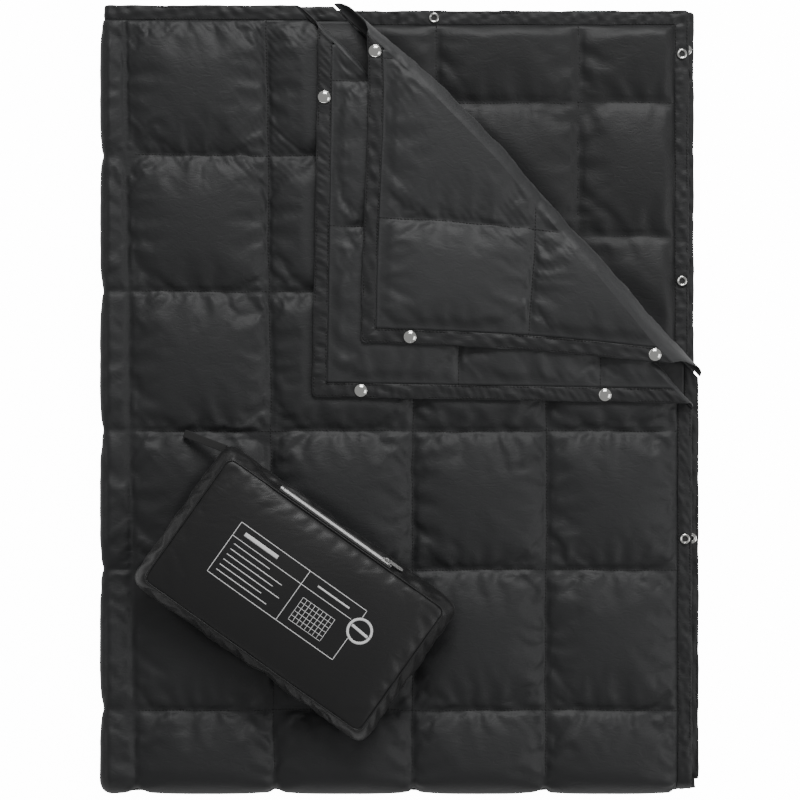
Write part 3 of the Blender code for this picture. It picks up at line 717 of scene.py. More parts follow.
def pair_rings(settings, upper):
    """Rings round one pair of layers, each at one place along the length, joined at the left fold."""
    outer, inner = (1, 2) if upper else (4, 3)
    sign = 1 if upper else -1
    outer_mid, inner_mid = abs(MID[outer] - STACK_MID), abs(MID[inner] - STACK_MID)
    centre = (outer_mid + inner_mid) / 2
    # Points along the outside face, the outer bend, the inner layer's two faces, the inner bend and the last face
    counts = (215, 14, 22, 22, 6, 22) if upper else (60, 14, 150, 22, 6, 22)
    step = ROW_STEP if upper else LOWER_ROW_STEP
    top = TOP[outer] - HEM
    rows = max(8, int((top - FOLD_BOTTOM) / step))
    bend = 12
    y_flat = np.concatenate([np.linspace(top, FOLD_BOTTOM, rows), np.full(bend, FOLD_BOTTOM)])
    turn = np.concatenate([np.zeros(rows), np.linspace(0, math.pi / 2, bend + 1)[1:]])
    y_cloth = y_flat - turn * STACK_HALF

    def end_of(layer):
        ends = np.full(len(y_flat), RIGHT[layer] - HEM)
        if upper:
            ends = np.minimum(ends, (ROLL_NEAR[layer] - OUTWARD[1] * y_flat) / OUTWARD[0])
        return ends[:, None]

    end_outer, end_inner = end_of(outer), end_of(inner)
    y = y_cloth[:, None]

    def even(count):
        return np.linspace(0, 1, count)[None]

    def near_end(count):
        """Shares from the open end to the fold, closer together at the end."""
        return (np.linspace(0, 1, count) ** 1.8)[None]

    def across(shares, end):
        return end + (FOLD_LEFT - end) * shares

    def near_fold(x):
        return 1 - smooth(FOLD_LEFT, FOLD_LEFT + 40 * MM, x)

    pieces = []  # x, distance from the stack's middle, and sideways along y
    # The outer layer's outside face
    x = across(even(counts[0]), end_outer)
    if upper:
        rise, sideways = top_face_height(settings, x, y + x * 0)
        rise = rise + 2.2 * MM * near_fold(x) * (1 - np.clip(rise / HALF, 0, 1))
    else:
        soft = np.minimum(square_crown(TOP_SQUARES, x, y + x * 0, 0.3), smooth(-1 * MM, 26 * MM, end_outer - x))
        rise, sideways = PINCHED + (HALF - PINCHED) * soft, np.zeros((*x.shape, 2))
    bent = 0.75 * smooth(FOLD_BOTTOM + 8 * MM, FOLD_BOTTOM - 22 * MM, y)
    rise = rise - bent * np.maximum(rise - HALF, 0)
    pieces.append((x + sideways[..., 0] * (1 - near_fold(x)), outer_mid + rise, sideways[..., 1]))
    fold_start = rise[:, -1:]
    # Round the left fold
    phi = np.linspace(0, math.pi, counts[1] + 2)[None, 1:-1]
    x_cloth = FOLD_LEFT - phi * (PITCH / 2 + HALF)
    if upper:
        rise, _ = puffed(TOP_SQUARES, x_cloth, y + phi * 0, np.full_like(x_cloth + y, HALF + 1.5 * MM))
    else:
        u, v = square_counts(TOP_SQUARES, x_cloth, y + phi * 0)
        rise = PINCHED + (HALF - PINCHED) * np.abs(np.sin(math.pi * v)) ** 0.4 + 0 * u
    rise = 2.4 * MM + rise * 0.72
    share = smooth(0, 0.5, phi) * (1 - smooth(math.pi - 0.5, math.pi, phi))
    rise = rise * share + (1 - share) * np.where(phi < 1.5, fold_start, HALF - 0.4 * MM)
    radius = PITCH / 2 + rise
    pieces.append((FOLD_LEFT - radius * np.sin(phi), centre + radius * np.cos(phi), phi * 0 + y * 0))
    # The inner layer's face towards the stack's middle
    if upper:
        x = across(1 - near_end(counts[2]), end_inner)
        rise, side_x, side_y = hidden_height(x, y + x * 0, end_inner), 0, x * 0
    else:
        x = across(1 - even(counts[2]), end_inner)
        rise, sideways = third_face_height(settings, x, y + x * 0)
        side_x, side_y = sideways[..., 0] * (1 - near_fold(x)), sideways[..., 1]
        rise = np.where(turn[:, None] > 0, np.minimum(rise, HALF - 0.2 * MM), rise)
    pieces.append((x + side_x, inner_mid - rise, side_y))
    # The inner layer's other face, back to the fold and round its inside
    x = across(near_end(counts[3]), end_inner)
    pieces.append((x, inner_mid + hidden_height(x, y + x * 0, end_inner), x * 0))
    phi = np.linspace(math.pi, 0, counts[4] + 2)[None, 1:-1]
    radius, level = PITCH / 2 - HALF + 0.5 * MM, y * 0
    pieces.append((FOLD_LEFT - radius * np.sin(phi) + level, centre + radius * np.cos(phi) + level, phi * 0 + level))
    x = across(1 - near_end(counts[5]), end_outer)
    pieces.append((x, outer_mid - hidden_height(x, y + x * 0, end_outer), x * 0))
    x, up, shift = (np.concatenate([np.broadcast_to(p[k], p[0].shape) for p in pieces], 1) for k in range(3))
    fade = smooth(FOLD_BOTTOM, FOLD_BOTTOM + 30 * MM, y_flat) * (1 - smooth(top - 20 * MM, top, y_flat))
    fade = fade[:, None]
    angle = turn[:, None]
    flat_y = y_flat[:, None] + shift * fade
    return np.stack([x, flat_y - up * np.sin(angle), STACK_MID + sign * up * np.cos(angle)], -1)


UPPER_DROOP = -20 * MM  # how far the upper corner's lower edge sags at its tip
FOLD_WANDER = (  # places along the fold, and how far outward the fold lies there
    (-0.36, -0.25, -0.13, 0.025, 0.142, 0.215),
    tuple(out * MM for out in (4, 8, 10, 5, -1, 2)),
)


def shaped_corner_shift(layer, points, share=1.0):
    """Points of the upper corner after its slight droop and the wander of its fold, both in the plan."""
    moved = np.array(points, float)
    if layer != 2:
        return moved
    e, _ = flap_local(2, moved[..., 0], moved[..., 1])
    along = moved[..., 0] * ALONG[0] + moved[..., 1] * ALONG[1]
    reach = reach_of(moved[..., 0], moved[..., 1])
    droop = UPPER_DROOP * np.clip(e / (390 * MM), 0, 1.05) ** 1.6 * share
    bulge = np.interp(along, *FOLD_WANDER)
    bulge = bulge * smooth(60 * MM, ROLL_FAR[2], reach)
    moved[..., 0] += bulge * OUTWARD[0] * smooth(-0.36, -0.26, along)
    moved[..., 1] += bulge * OUTWARD[1] + droop
    return moved


def flap_heights(settings, layer, e, d):
    """Heights of the flap's upper and lower faces over and under its middle."""
    high = HALF + (settings.loft - 1.5 * MM)
    rise, sideways = puffed(FLAP_SQUARES[layer], e, d, high)
    if layer == 1:
        rise = soft_cap(rise, room_over(2, *flap_plan(layer, e, d)))
    edge = np.minimum(e, d) - HEM
    pinch = smooth(-2 * MM, 18 * MM, edge)
    rise = PINCHED + (rise - PINCHED) * pinch
    full = square_crown(FLAP_SQUARES[layer], e, d, 0.2)
    deep = HALF + (0.6 if layer == 1 else -0.4) * MM  # so that the open lower corner covers the other's roll
    under = PINCHED + (deep - PINCHED) * np.minimum(full, smooth(-2 * MM, 8 * MM, edge))
    return rise, under, sideways * pinch[..., None]


def flap_rings(settings, layer):
    """Rings round a turned-back corner, each at one distance from its bottom edge."""
    corner, right, up_way = flap_axes(layer)
    rate_e, rate_d = right @ OUTWARD, up_way @ OUTWARD
    room = ROLL_NEAR[layer] - corner @ OUTWARD
    d_last = (room - (HEM + FLAP_ROW_STEP) * rate_e) / rate_d
    rows = int((d_last - HEM) / FLAP_ROW_STEP)
    d = np.linspace(HEM, d_last, rows)[:, None]
    last = (room - d * rate_d) / rate_e
    shares = np.linspace(0, 1, FLAP_STEPS)[None]
    e = HEM + (last - HEM) * shares
    rise, under, sideways = flap_heights(settings, layer, e, d + e * 0)
    off_edge = (1 - shares**6)[..., None]
    sides = sideways * off_edge
    top = np.stack([e + sides[..., 0], d + sides[..., 1], FLAP_MID[layer] + rise], -1)
    low = np.stack([e, d + e * 0, FLAP_MID[layer] - under], -1)[:, ::-1]
    local = np.concatenate([top, low], 1)
    world = np.stack([*flap_plan(layer, local[..., 0], local[..., 1]), local[..., 2]], -1)
    return shaped_corner_shift(layer, world)


def roll_rings(settings, layer):
    """The strip that turns over between a layer and its flap."""
    corner, right, up_way = flap_axes(layer)
    points = node_points(f"{CORNERS[layer]}_roll")
    hinge_z = (points[:, 2].min() + points[:, 2].max()) / 2
    mid_radius = FLAP_MID[layer] - hinge_z
    squash = (ROLL_FAR[layer] - ROLL_NEAR[layer]) / (mid_radius + HALF)
    reach = ROLL_NEAR[layer]
    # The cloth's own edges run on round the roll, so its ends are cut on a slant
    room = reach - corner @ OUTWARD
    flap_ends = [(corner + way * room / (way @ OUTWARD)) @ ALONG for way in (up_way, right)]
    layer_ends = [at_reach(reach, y=TOP[layer]) @ ALONG, at_reach(reach, x=RIGHT[layer]) @ ALONG]
    # No points near the outermost place: they would stand up as a ridge on the hinge when the corner is open
    part = np.linspace(0, math.radians(70), 8)
    phi = np.concatenate([part, math.pi - part[::-1]])[None]
    turned = (1 - np.cos(phi)) / 2
    low, high = (near + (far - near) * turned for near, far in zip(flap_ends, layer_ends))
    rows = int((flap_ends[1] - flap_ends[0]) / ROLL_ROW_STEP)
    a = low + (high - low) * np.linspace(0, 1, rows)[:, None]
    x, y = (reach * OUTWARD[k] + a[:, :1] * ALONG[k] for k in (0, 1))
    e, d = flap_local(layer, x, y)
    rise, under, _ = flap_heights(settings, layer, e, d)
    ends = np.minimum(a - low, high - a)
    pinch = smooth(HEM * 0.6, HEM + 20 * MM, ends)
    round_it = phi * mid_radius
    own = rough_patch(a, round_it, 0.045, 5 + layer) + 0.55 * rough_patch(a, round_it, 0.016, 9 + layer)
    own = 1.3 * MM * own * np.sin(phi)
    outside = rise * (1 - phi / math.pi) + (HALF - 0.6 * MM) * phi / math.pi + own
    outside = HEM_THICK / 2 + (outside - HEM_THICK / 2) * pinch
    inside = under * (1 - phi / math.pi) + (HALF - 0.6 * MM) * phi / math.pi
    inside = np.minimum(HEM_THICK / 2 + (inside - HEM_THICK / 2) * pinch, mid_radius * 0.92)
    rings = []
    for sign, offset, angles, along in ((1, outside, phi, a), (-1, inside[:, ::-1], phi[:, ::-1], a[:, ::-1])):
        radius = mid_radius + sign * offset
        out = reach + radius * np.sin(angles) * squash
        up = hinge_z + radius * np.cos(angles)
        rings.append(np.stack([out * OUTWARD[0] + along * ALONG[0], out * OUTWARD[1] + along * ALONG[1], up], -1))
    share = np.concatenate([1 - turned, (1 - turned)[:, ::-1]], 1)  # the layer's own side doesn't droop
    return shaped_corner_shift(layer, np.concatenate(rings, 1), share), hinge_z


# ---------------------------------------------------------------- hems, stitches and snaps

BAND_POINTS = 13
CORNER_ROUND = 5 * MM
FOLD_POINTS = 7  # points at a hem's end that turn down a fold, out of sight
STITCH_SWELL = ((0.08, 0.35), (0.25, 0.95), (0.5, 1.1), (0.75, 0.95), (0.92, 0.35))  # place along it and thickness


def band_rings(outer, inner, seed, thick=HEM_THICK):
    """A sewn band between two edge lines: raised along its middle and rippled between its stitch rows."""
    across = inner - outer
    middle = (inner + outer) / 2
    way = np.gradient(middle, axis=0)
    up = np.cross(way, across)
    up /= np.linalg.norm(up, axis=1, keepdims=True)
    up *= np.sign(up[:, 2:].sum()) or 1
    run = np.concatenate([[0], np.cumsum(np.linalg.norm(np.diff(middle, axis=0), axis=1))])[:, None]
    share = (1 - np.cos(np.linspace(0, math.pi, BAND_POINTS)))[None] / 2
    ripple = rough_patch(run, share * HEM, 0.012, seed) * 0.55 * MM
    ripple = ripple + rough_patch(run, share * HEM, 0.045, seed + 1) * 0.5 * MM
    body = np.sin(math.pi * share) ** 0.5
    height = thick * 0.3 + thick * 0.34 * body + ripple * body
    wave = 0.9 * MM * waves(run, 0.02, seed)
    lap = 0.7 * MM * waves(run, 0.011, seed + 2)
    edge = outer + across * (lap / np.linalg.norm(across, axis=1, keepdims=True))
    rings = []
    for sign, shares in ((1, share), (-1, share[:, ::-1])):
        high = height if sign > 0 else height[:, ::-1] * 0 + thick * 0.45 * body[:, ::-1]
        flat = edge[:, None] + (inner - edge)[:, None] * shares[..., None]
        rings.append(flat + up[:, None] * (sign * high + wave)[..., None])
    return np.concatenate([rings[0], rings[1][:, 1:-1]], 1)


def line_between(start, end, step=2.4 * MM):
    """Points at about even steps from start to end."""
    start, end = np.asarray(start, float), np.asarray(end, float)
    count = max(2, int(np.linalg.norm(end - start) / step))
    return start + (end - start) * np.linspace(0, 1, count)[:, None]


def quarter(centre, start, end, steps=7):
    """A quarter turn about a centre, from one arm to the other, without its first point."""
    turn = np.linspace(0, math.pi / 2, steps)[1:, None]
    return np.asarray(centre) + np.asarray(start) * np.cos(turn) + np.asarray(end) * np.sin(turn)


def joined_edges(*pairs):
    """One outer and one inner edge line out of several pairs end to end."""
    return [np.concatenate([pair[k] for pair in pairs]) for k in (0, 1)]


def straight_pair(outer_start, outer_end, inner_start, inner_end):
    """Two edge lines with as many points each."""
    outer = line_between(outer_start, outer_end)
    start, end = np.asarray(inner_start), np.asarray(inner_end)
    return outer, start + (end - start) * np.linspace(0, 1, len(outer))[:, None]


def corner_pair(corner, way_in, way_out, z):
    """Fans round a right-angled corner: the outer edge is rounded and the inner edge nearly stays."""
    corner, way_in, way_out = (np.append(np.asarray(v, float), 0) for v in (corner, way_in, way_out))
    inner_corner = corner + (way_out - way_in) * HEM
    reach = HEM - CORNER_ROUND
    leg = np.linspace(0, reach, 5)[1:, None]
    outer = np.concatenate([
        corner - way_in * HEM + way_in * leg,
        quarter(corner + (way_out - way_in) * CORNER_ROUND, -way_out * CORNER_ROUND, way_in * CORNER_ROUND, 6),
        corner + way_out * (CORNER_ROUND + leg),
    ])
    slide = np.linspace(-0.6 * MM, 0.6 * MM, len(outer))[:, None]
    inner = inner_corner + np.where(slide < 0, way_in, way_out) * slide
    for edge in (outer, inner):
        edge[:, 2] = z
    return outer, inner


def bottom_turn(layer, x_outer, x_inner):
    """The last of a right hem, bent a quarter of the way round the bottom fold."""
    radius = abs(MID[layer] - STACK_MID)
    up = (0, 0, math.copysign(radius, MID[layer] - STACK_MID))
    return [quarter((x, FOLD_BOTTOM, STACK_MID), up, (0, -radius, 0)) for x in (x_outer, x_inner)]


def left_turn(layer, y_outer, y_inner):
    """The last of a top hem, bent a quarter of the way round the left fold."""
    mate = {1: 2, 2: 1, 3: 4, 4: 3}[layer]
    centre = (MID[layer] + MID[mate]) / 2
    up = (0, 0, MID[layer] - centre)
    return [quarter((FOLD_LEFT, y, centre), up, (-PITCH / 2, 0, 0)) for y in (y_outer, y_inner)]


def body_hem_edges():
    """The edge lines of every hem that stays flat."""
    edges = {}
    for layer, z in MID.items():
        near = ROLL_NEAR.get(layer)
        x_out, x_in, y_out, y_in = RIGHT[layer], RIGHT[layer] - HEM, TOP[layer], TOP[layer] - HEM
        bottom, left = bottom_turn(layer, x_out, x_in), left_turn(layer, y_out, y_in)
        # The upper pair's hems start at the roll, and the lower pair's meet in a corner
        starts = [(*at_reach(near, x=x), z) for x in (x_out, x_in)] if near else [(x_out, y_in, z), (x_in, y_in, z)]
        side = straight_pair(starts[0], (x_out, FOLD_BOTTOM, z), starts[1], (x_in, FOLD_BOTTOM, z))
        if near:
            ends = [(*at_reach(near, y=y), z) for y in (y_out, y_in)]
            top = straight_pair(ends[0], (FOLD_LEFT, y_out, z), ends[1], (FOLD_LEFT, y_in, z))
            edges[SIDE_HEM[layer]] = joined_edges(side, bottom)
            edges[TOP_HEM[layer]] = joined_edges(top, left)
        else:
            top = straight_pair((FOLD_LEFT, y_out, z), (x_in, y_out, z), (FOLD_LEFT, y_in, z), (x_in, y_in, z))
            corner = corner_pair((x_out, y_out), (1, 0), (0, -1), z)
            turned = [edge[::-1] for edge in left]
            edges[SIDE_HEM[layer]] = joined_edges(turned, top, corner, [edge[1:] for edge in side], bottom)
    return edges


def flap_hem_edges(layer):
    """The edge lines of a turned-back corner's hem."""
    corner, right, up_way = flap_axes(layer)
    z, room = FLAP_MID[layer], ROLL_NEAR[layer] - corner @ OUTWARD
    rate_e, rate_d = right @ OUTWARD, up_way @ OUTWARD

    def place(e, d):
        return (*(corner + right * e + up_way * d), z)

    meets = {inset: ((room - inset * rate_d) / rate_e, (room - inset * rate_e) / rate_d) for inset in (0, HEM)}
    left = straight_pair(place(0, meets[0][1]), place(0, HEM), place(HEM, meets[HEM][1]), place(HEM, HEM))
    turn = corner_pair(corner, -up_way, right, z)
    low = straight_pair(place(HEM, 0), place(meets[0][0], 0), place(HEM, HEM), place(meets[HEM][0], HEM))
    return [shaped_corner_shift(layer, edge) for edge in joined_edges(left, turn, [edge[1:] for edge in low])]


# Stitches are drawn wide so that, with the near-black thread, they also carry painted shade of the seam grooves.
def stitch_row(path, step, width=1.1 * MM, tall=0.4 * MM, sides=6):
    """Separate stitches end to end along a path, each dipping into the cloth at both ends."""
    path = resample(path, step)
    starts, ends = path[:-1], path[1:]
    way = ends - starts
    side = np.cross(way, (0, 0, 1.0))
    side /= np.maximum(np.linalg.norm(side, axis=1, keepdims=True), 1e-9)
    up = np.cross(side, way / np.linalg.norm(way, axis=1, keepdims=True))
    ring = oval(width, tall, sides)
    rings = []
    for share, size in STITCH_SWELL:
        centre = starts + way * share + up * tall * (0.5 * size - 0.25)
        spread = side[:, None] * (ring[:, :1] * size) + up[:, None] * (ring[:, 1:] * size)
        rings.append(centre[:, None] + spread)
    points = np.stack(rings, 1)
    one = loft(points[0])
    return join_parts([(stitch, one[1]) for stitch in points])


def lathe(profile, sides=48):
    """Points and faces of a profile turned about Z, closed on the axis where it starts and ends."""
    profile = np.asarray(profile, float)
    turn = np.arange(sides) / sides * TAU
    rings = np.stack(
        [profile[:, None, 0] * np.cos(turn), profile[:, None, 0] * np.sin(turn), profile[:, None, 1] + 0 * turn], -1
    )
    return loft(rings, caps=bool(profile[0, 0] < 1e-4))


def rounded_profile(points, radius=0.25 * MM, steps=3):
    """Rounds the inner corners of an open profile."""
    points = [np.asarray(p, float) for p in points]
    made = [points[0]]
    for before, here, after in zip(points, points[1:], points[2:]):
        to_before, to_after = before - here, after - here
        cut = min(radius, 0.45 * np.linalg.norm(to_before), 0.45 * np.linalg.norm(to_after))
        start = here + to_before / np.linalg.norm(to_before) * cut
        end = here + to_after / np.linalg.norm(to_after) * cut
        for step in range(steps + 1):
            t = step / steps
            made.append((1 - t) ** 2 * start + 2 * t * (1 - t) * here + t * t * end)
    made.append(points[-1])
    return made


ON_AXIS = 0.00001


def cap_profile(radius, seat):
    """Pressed steel cap: a shallow dome inside a rolled rim, with its post through the band."""
    dome = ((0.3, 2.2), (0.58, 1.8), (0.78, 1.15), (0.85, 0.8), (0.92, 1.0), (1, 0.75), (0.985, 0.1), (0.9, 0))
    foot = -(seat + 0.3 * MM)
    return rounded_profile([
        (ON_AXIS, seat + 2.3 * MM), *((radius * out, seat + up * MM) for out, up in dome),
        (1.9 * MM, seat), (1.9 * MM, foot), (ON_AXIS, foot),
    ])


def socket_profile(radius, seat, tall=2.7 * MM):
    """Ring-shaped socket: a rolled outer rim, a dished face and a round hole with its spring ring."""
    rim = ((1, 0), (1.01, 0.35), (0.93, 0.85), (0.8, 1), (0.66, 0.86))
    hole = ((3.6, 0.9), (3.3, 0.75), (3.4, 0.2), (2.4, 0.15), (2.4, 0))
    return rounded_profile([
        (2.4 * MM, seat), *((radius * out, seat + tall * up) for out, up in rim),
        *((out * MM, seat + tall * up) for out, up in hole),
    ])


def stud_profile(radius, seat, tall=3.4 * MM):
    """Stud: a thin flange with a raised knob, necked in under its head."""
    return rounded_profile([
        (2.35 * MM, seat), (radius, seat), (radius, seat + 0.7 * MM), (radius * 0.8, seat + 1.0 * MM),
        (3.5 * MM, seat + 0.9 * MM), (2.9 * MM, seat + 1.5 * MM), (3.15 * MM, seat + tall * 0.8),
        (2.9 * MM, seat + tall), (2.45 * MM, seat + tall), (2.35 * MM, seat + tall * 0.4), (2.35 * MM, seat),
    ])


SNAP_PROFILES = {"cap": cap_profile, "socket": socket_profile, "stud": stud_profile}


# ---------------------------------------------------------------- pouch

PANEL_STEPS = (76, 46)
BAND_LEVELS = 18
TOP_SEAM = node_box("pouch_gusset")[1][2] - POUCH_FLOOR
BOTTOM_SEAM = node_box("pouch_gusset")[0][2] - POUCH_FLOOR
POUCH_TALL = node_box("pouch_top_panel")[1][2] - POUCH_FLOOR
POUCH_BULGE = 12.6 * MM
TOOTH_PITCH = 1.5 * MM


def panel_grid(half, corner):
    """A square grid drawn out to a rounded rectangle."""
    p, q = np.meshgrid(np.linspace(-1, 1, PANEL_STEPS[0] + 1), np.linspace(-1, 1, PANEL_STEPS[1] + 1))
    m = np.maximum(np.maximum(np.abs(p), np.abs(q)), 1e-6)
    bu, bv = p / m * half[0], q / m * half[1]
    low, high = np.full(p.shape, 0.5), np.full(p.shape, 1.0)
    for _ in range(30):
        mid = (low + high) / 2
        out = rounded_box_distance(bu * mid, bv * mid, *half, corner) > 0
        low, high = np.where(out, low, mid), np.where(out, mid, high)
    pull = 1 + (low - 1) * m**6
    return p * half[0] * pull, q * half[1] * pull, p, q


def border_order():
    """Grid positions round the border of a panel, in turn."""
    columns, rows = PANEL_STEPS
    walk = [(0, c) for c in range(columns)] + [(r, columns) for r in range(rows)]
    walk += [(rows, c) for c in range(columns, 0, -1)] + [(r, 0) for r in range(rows, 0, -1)]
    return walk


def pouch_shell(settings):
    """The filled pouch in its own frame: crowned panels and a side band, blown up as cloth between its seams."""
    u, v, p, q = panel_grid(POUCH_HALF, POUCH_CORNER)
    crown = ((1 - p**2) * (1 - q**2)) ** 0.55
    top_w = TOP_SEAM + (POUCH_TALL - TOP_SEAM - 2 * MM) * crown
    low_w = BOTTOM_SEAM * (1 - np.clip(1.6 * crown, 0, 1)) + 0.4 * MM
    rows, columns = u.shape
    top = np.stack([u, v, top_w], -1).reshape(-1, 3)
    low = np.stack([u, v, low_w], -1).reshape(-1, 3)
    border = np.array([r * columns + c for r, c in border_order()])
    edge = top[border][:, :2]
    way = np.roll(edge, -1, 0) - np.roll(edge, 1, 0)
    out = np.stack([way[:, 1], -way[:, 0]], -1)
    out /= np.linalg.norm(out, axis=1, keepdims=True)
    out *= np.sign((out * edge).sum())
    out *= (1 + 0.3 * (2 * np.abs(out[:, 0] * out[:, 1])) ** 2)[:, None]  # full corners
    points, faces = [top, low], grid_faces(rows, columns, wrap=False)
    faces += [face[::-1] for face in grid_faces(rows, columns, wrap=False, first=len(top))]
    level_start = 2 * len(top)
    seams = [border, border + len(top)]
    levels = []
    for level in range(1, BAND_LEVELS):
        t = level / BAND_LEVELS
        bulge = POUCH_BULGE * math.sin(math.pi * t) ** 0.8
        w = TOP_SEAM + (BOTTOM_SEAM + 0.4 * MM - TOP_SEAM) * t
        levels.append(np.column_stack([edge + out * bulge, np.full(len(edge), w)]))
    points += levels
    around = len(border)
    between = [level_start + k * around + np.arange(around) for k in range(BAND_LEVELS - 1)]
    loops = [seams[0], *between, seams[1]]
    for above, below in zip(loops, loops[1:]):
        nxt_a, nxt_b = np.roll(above, -1), np.roll(below, -1)
        faces += np.stack([above, below, nxt_b, nxt_a], -1).tolist()
    points = np.concatenate(points)
    pinned = np.unique(np.concatenate([*seams, len(top) + np.arange(len(top))]))
    seed = rough_patch(points[:, 0] + points[:, 2], points[:, 1] - points[:, 2], 0.02, 21)[:, None]
    start = points + np.where(np.isin(np.arange(len(points)), pinned)[:, None], 0, seed * 0.5 * MM)
    moved = relax_cloth("pouch_cloth", start, faces, pinned, pressure=2.0, stretch=0.022, bending=0.8, frames=14)
    shift = moved - points
    size = np.linalg.norm(shift, axis=1, keepdims=True)
    limit = np.where(np.arange(len(points))[:, None] < len(top), 0.2, 1.9) * settings.gather
    return points + shift * np.minimum(1, limit / np.maximum(size, 1e-9)), faces, seams


def pouch_world(points):
    """Points of the pouch's own frame, in the shared frame."""
    points = np.asarray(points, float)
    plan = POUCH_CENTRE + points[..., :1] * POUCH_X + points[..., 1:2] * POUCH_Y
    return np.concatenate([plan, points[..., 2:] + POUCH_FLOOR], -1)


def zip_plane():
    """A point on the zip's tape, the way along it, across it and outwards."""
    points = np.concatenate([node_points("zip_tape_upper"), node_points("zip_tape_lower")])
    middle = (points.min(0) + points.max(0)) / 2
    along = np.array(joint("zip_run")["axis"]) * -1
    normal = np.linalg.svd(points - points.mean(0), full_matrices=False)[2][2]
    normal *= np.sign(normal[2]) or 1
    across = np.cross(normal, along)
    middle = middle + normal * ((points - middle) @ normal).mean()
    return middle, along, across, normal


def drop_onto(tree, places, lift):
    """Puts plan places onto the pouch's upper face."""
    made = []
    for x, y in places:
        hit, _, _, _ = tree.ray_cast(Vector((x, y, 1.0)), Vector((0, 0, -1)))
        if hit is None:
            raise RuntimeError("the printed label runs off the pouch")
        made.append((x, y, hit.z + lift))
    return np.array(made)


def refined(name, node, material, bevel=0.25 * MM, segments=2):
    """A copy of a hard node with its edges rounded."""
    mesh = frame["nodes"][node].data.copy()
    mesh.materials.clear()
    mesh.materials.append(material)
    obj = bpy.data.objects.new(name, mesh)
    bpy.context.scene.collection.objects.link(obj)
    shape = bmesh.new()
    shape.from_mesh(mesh)
    bmesh.ops.remove_doubles(shape, verts=shape.verts, dist=0.000005)
    bmesh.ops.dissolve_limit(shape, angle_limit=math.radians(2), verts=shape.verts, edges=shape.edges)
    edges = [e for e in shape.edges if e.is_manifold and e.calc_face_angle(0) > math.radians(35)]
    bmesh.ops.bevel(
        shape, geom=edges, offset=bevel, segments=segments, profile=0.5, affect="EDGES", clamp_overlap=True
    )
    bmesh.ops.triangulate(shape, faces=shape.faces)
    bmesh.ops.recalc_face_normals(shape, faces=shape.faces)
    shape.to_mesh(mesh)
    shape.free()
    return obj


# ---------------------------------------------------------------- sizes and colours a user may change


class QuiltLooks(bpy.types.PropertyGroup):
    """Sizes and colours of the quilt"""

    loft: bpy.props.FloatProperty(
        name="Loft", description="How far an open face puffs up over its layer", default=7.5 * MM, unit="LENGTH"
    )
    stitch: bpy.props.FloatProperty(
        name="Stitch", description="Length from one stitch to the next", default=4 * MM, unit="LENGTH"
    )
    shell: bpy.props.FloatVectorProperty(
        name="Shell", description="Colour of the outer cloth", default=(0.0125, 0.013, 0.0138), subtype="COLOR"
    )
    # Lighter than the shell as painted light: the cloth is the same black, and the turned-back corners look lighter
    # where they face the light.
    lining: bpy.props.FloatVectorProperty(
        name="Lining", description="Colour of the inner cloth", default=(0.0218, 0.0224, 0.0233), subtype="COLOR"
    )
    hem: bpy.props.FloatVectorProperty(
        name="Hem", description="Colour of the binding", default=(0.0085, 0.0088, 0.0095), subtype="COLOR"
    )
    # Near black partly as painted shade: the real thread is dark, and the stitch rows also stand for the shadow in
    # the pulled-in seam grooves.
    thread: bpy.props.FloatVectorProperty(
        name="Thread", description="Colour of the stitches", default=(0.0035, 0.0035, 0.0037), subtype="COLOR"
    )


class PouchLooks(bpy.types.PropertyGroup):
    """Sizes and colours of the pouch"""

    cloth: bpy.props.FloatVectorProperty(
        name="Cloth", description="Colour of the pouch", default=(0.0075, 0.0075, 0.0078), subtype="COLOR"
    )
    gather: bpy.props.FloatProperty(
        name="Gather", description="Depth of the gathers along the side band", default=2.2 * MM, unit="LENGTH"
    )
    zip: bpy.props.FloatVectorProperty(
        name="Zip", description="Colour of the zip teeth and pull", default=(0.82, 0.82, 0.82), subtype="COLOR"
    )
    print: bpy.props.FloatVectorProperty(
        name="Print", description="Colour of the printed label", default=(0.78, 0.78, 0.78), subtype="COLOR"
    )


class MetalLooks(bpy.types.PropertyGroup):
    """Colour of the metal parts"""

    steel: bpy.props.FloatVectorProperty(
        name="Snap steel", description="Colour of the press snaps", default=(0.82, 0.81, 0.79), subtype="COLOR"
    )


class StageLooks(bpy.types.PropertyGroup):
    """Floor and lights"""

    floor: bpy.props.FloatVectorProperty(
        name="Floor", description="Colour of the floor", default=(0.92, 0.92, 0.92), subtype="COLOR"
    )
    key: bpy.props.FloatProperty(name="Key light", description="Strength of the main light", default=170.0, min=0)
    fill: bpy.props.FloatProperty(name="Fill light", description="Strength of the room's light", default=0.4, min=0)


def quilt_cloth(kind):
    """The quilt's cloths: shell outside, a copy of the shell darkened as painted shade for the lower pair, lining
    inside, made lighter as painted light for the turned-back corners, binding at the hems.
    """
    looks = bpy.context.scene.quilt_looks
    # The lower pair wears the same shell cloth, darkened to 0.66 as painted shade.
    colour = np.array(looks.shell) * 0.66 if kind == "painted_shade_shell" else np.array(getattr(looks, kind))
    return cloth_finish(f"{kind}_taffeta", colour * 0.8, colour * 1.25, roughness=0.56, crinkle=0.22)


def keep(obj, body, slot_name, *nodes):
    """Puts a finished piece on its body and has it stand for these nodes."""
    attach(obj, body)
    if nodes:
        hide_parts(*nodes)
    return obj


class SoftPiece:
    """What every operator of this file shares."""

    bl_options = {"REGISTER", "UNDO"}


class QUILT_OT_upper_layers(SoftPiece, bpy.types.Operator):
    """Make the quilted upper pair of layers, joined at the left fold and turned under at the bottom"""

    bl_idname = "quilt.upper_layers"
    bl_label = "Upper layers"

    def execute(self, context):
        rings = pair_rings(context.scene.quilt_looks, True)
        obj = mend_normals(new_object("upper_layers", *loft(rings), quilt_cloth("shell")))
        keep(obj, "quilt", "shell_fabric", "upper_pair_shell", "upper_pair_batting", "upper_pair_lining")
        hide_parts("bottom_fold_outer")
        return {"FINISHED"}


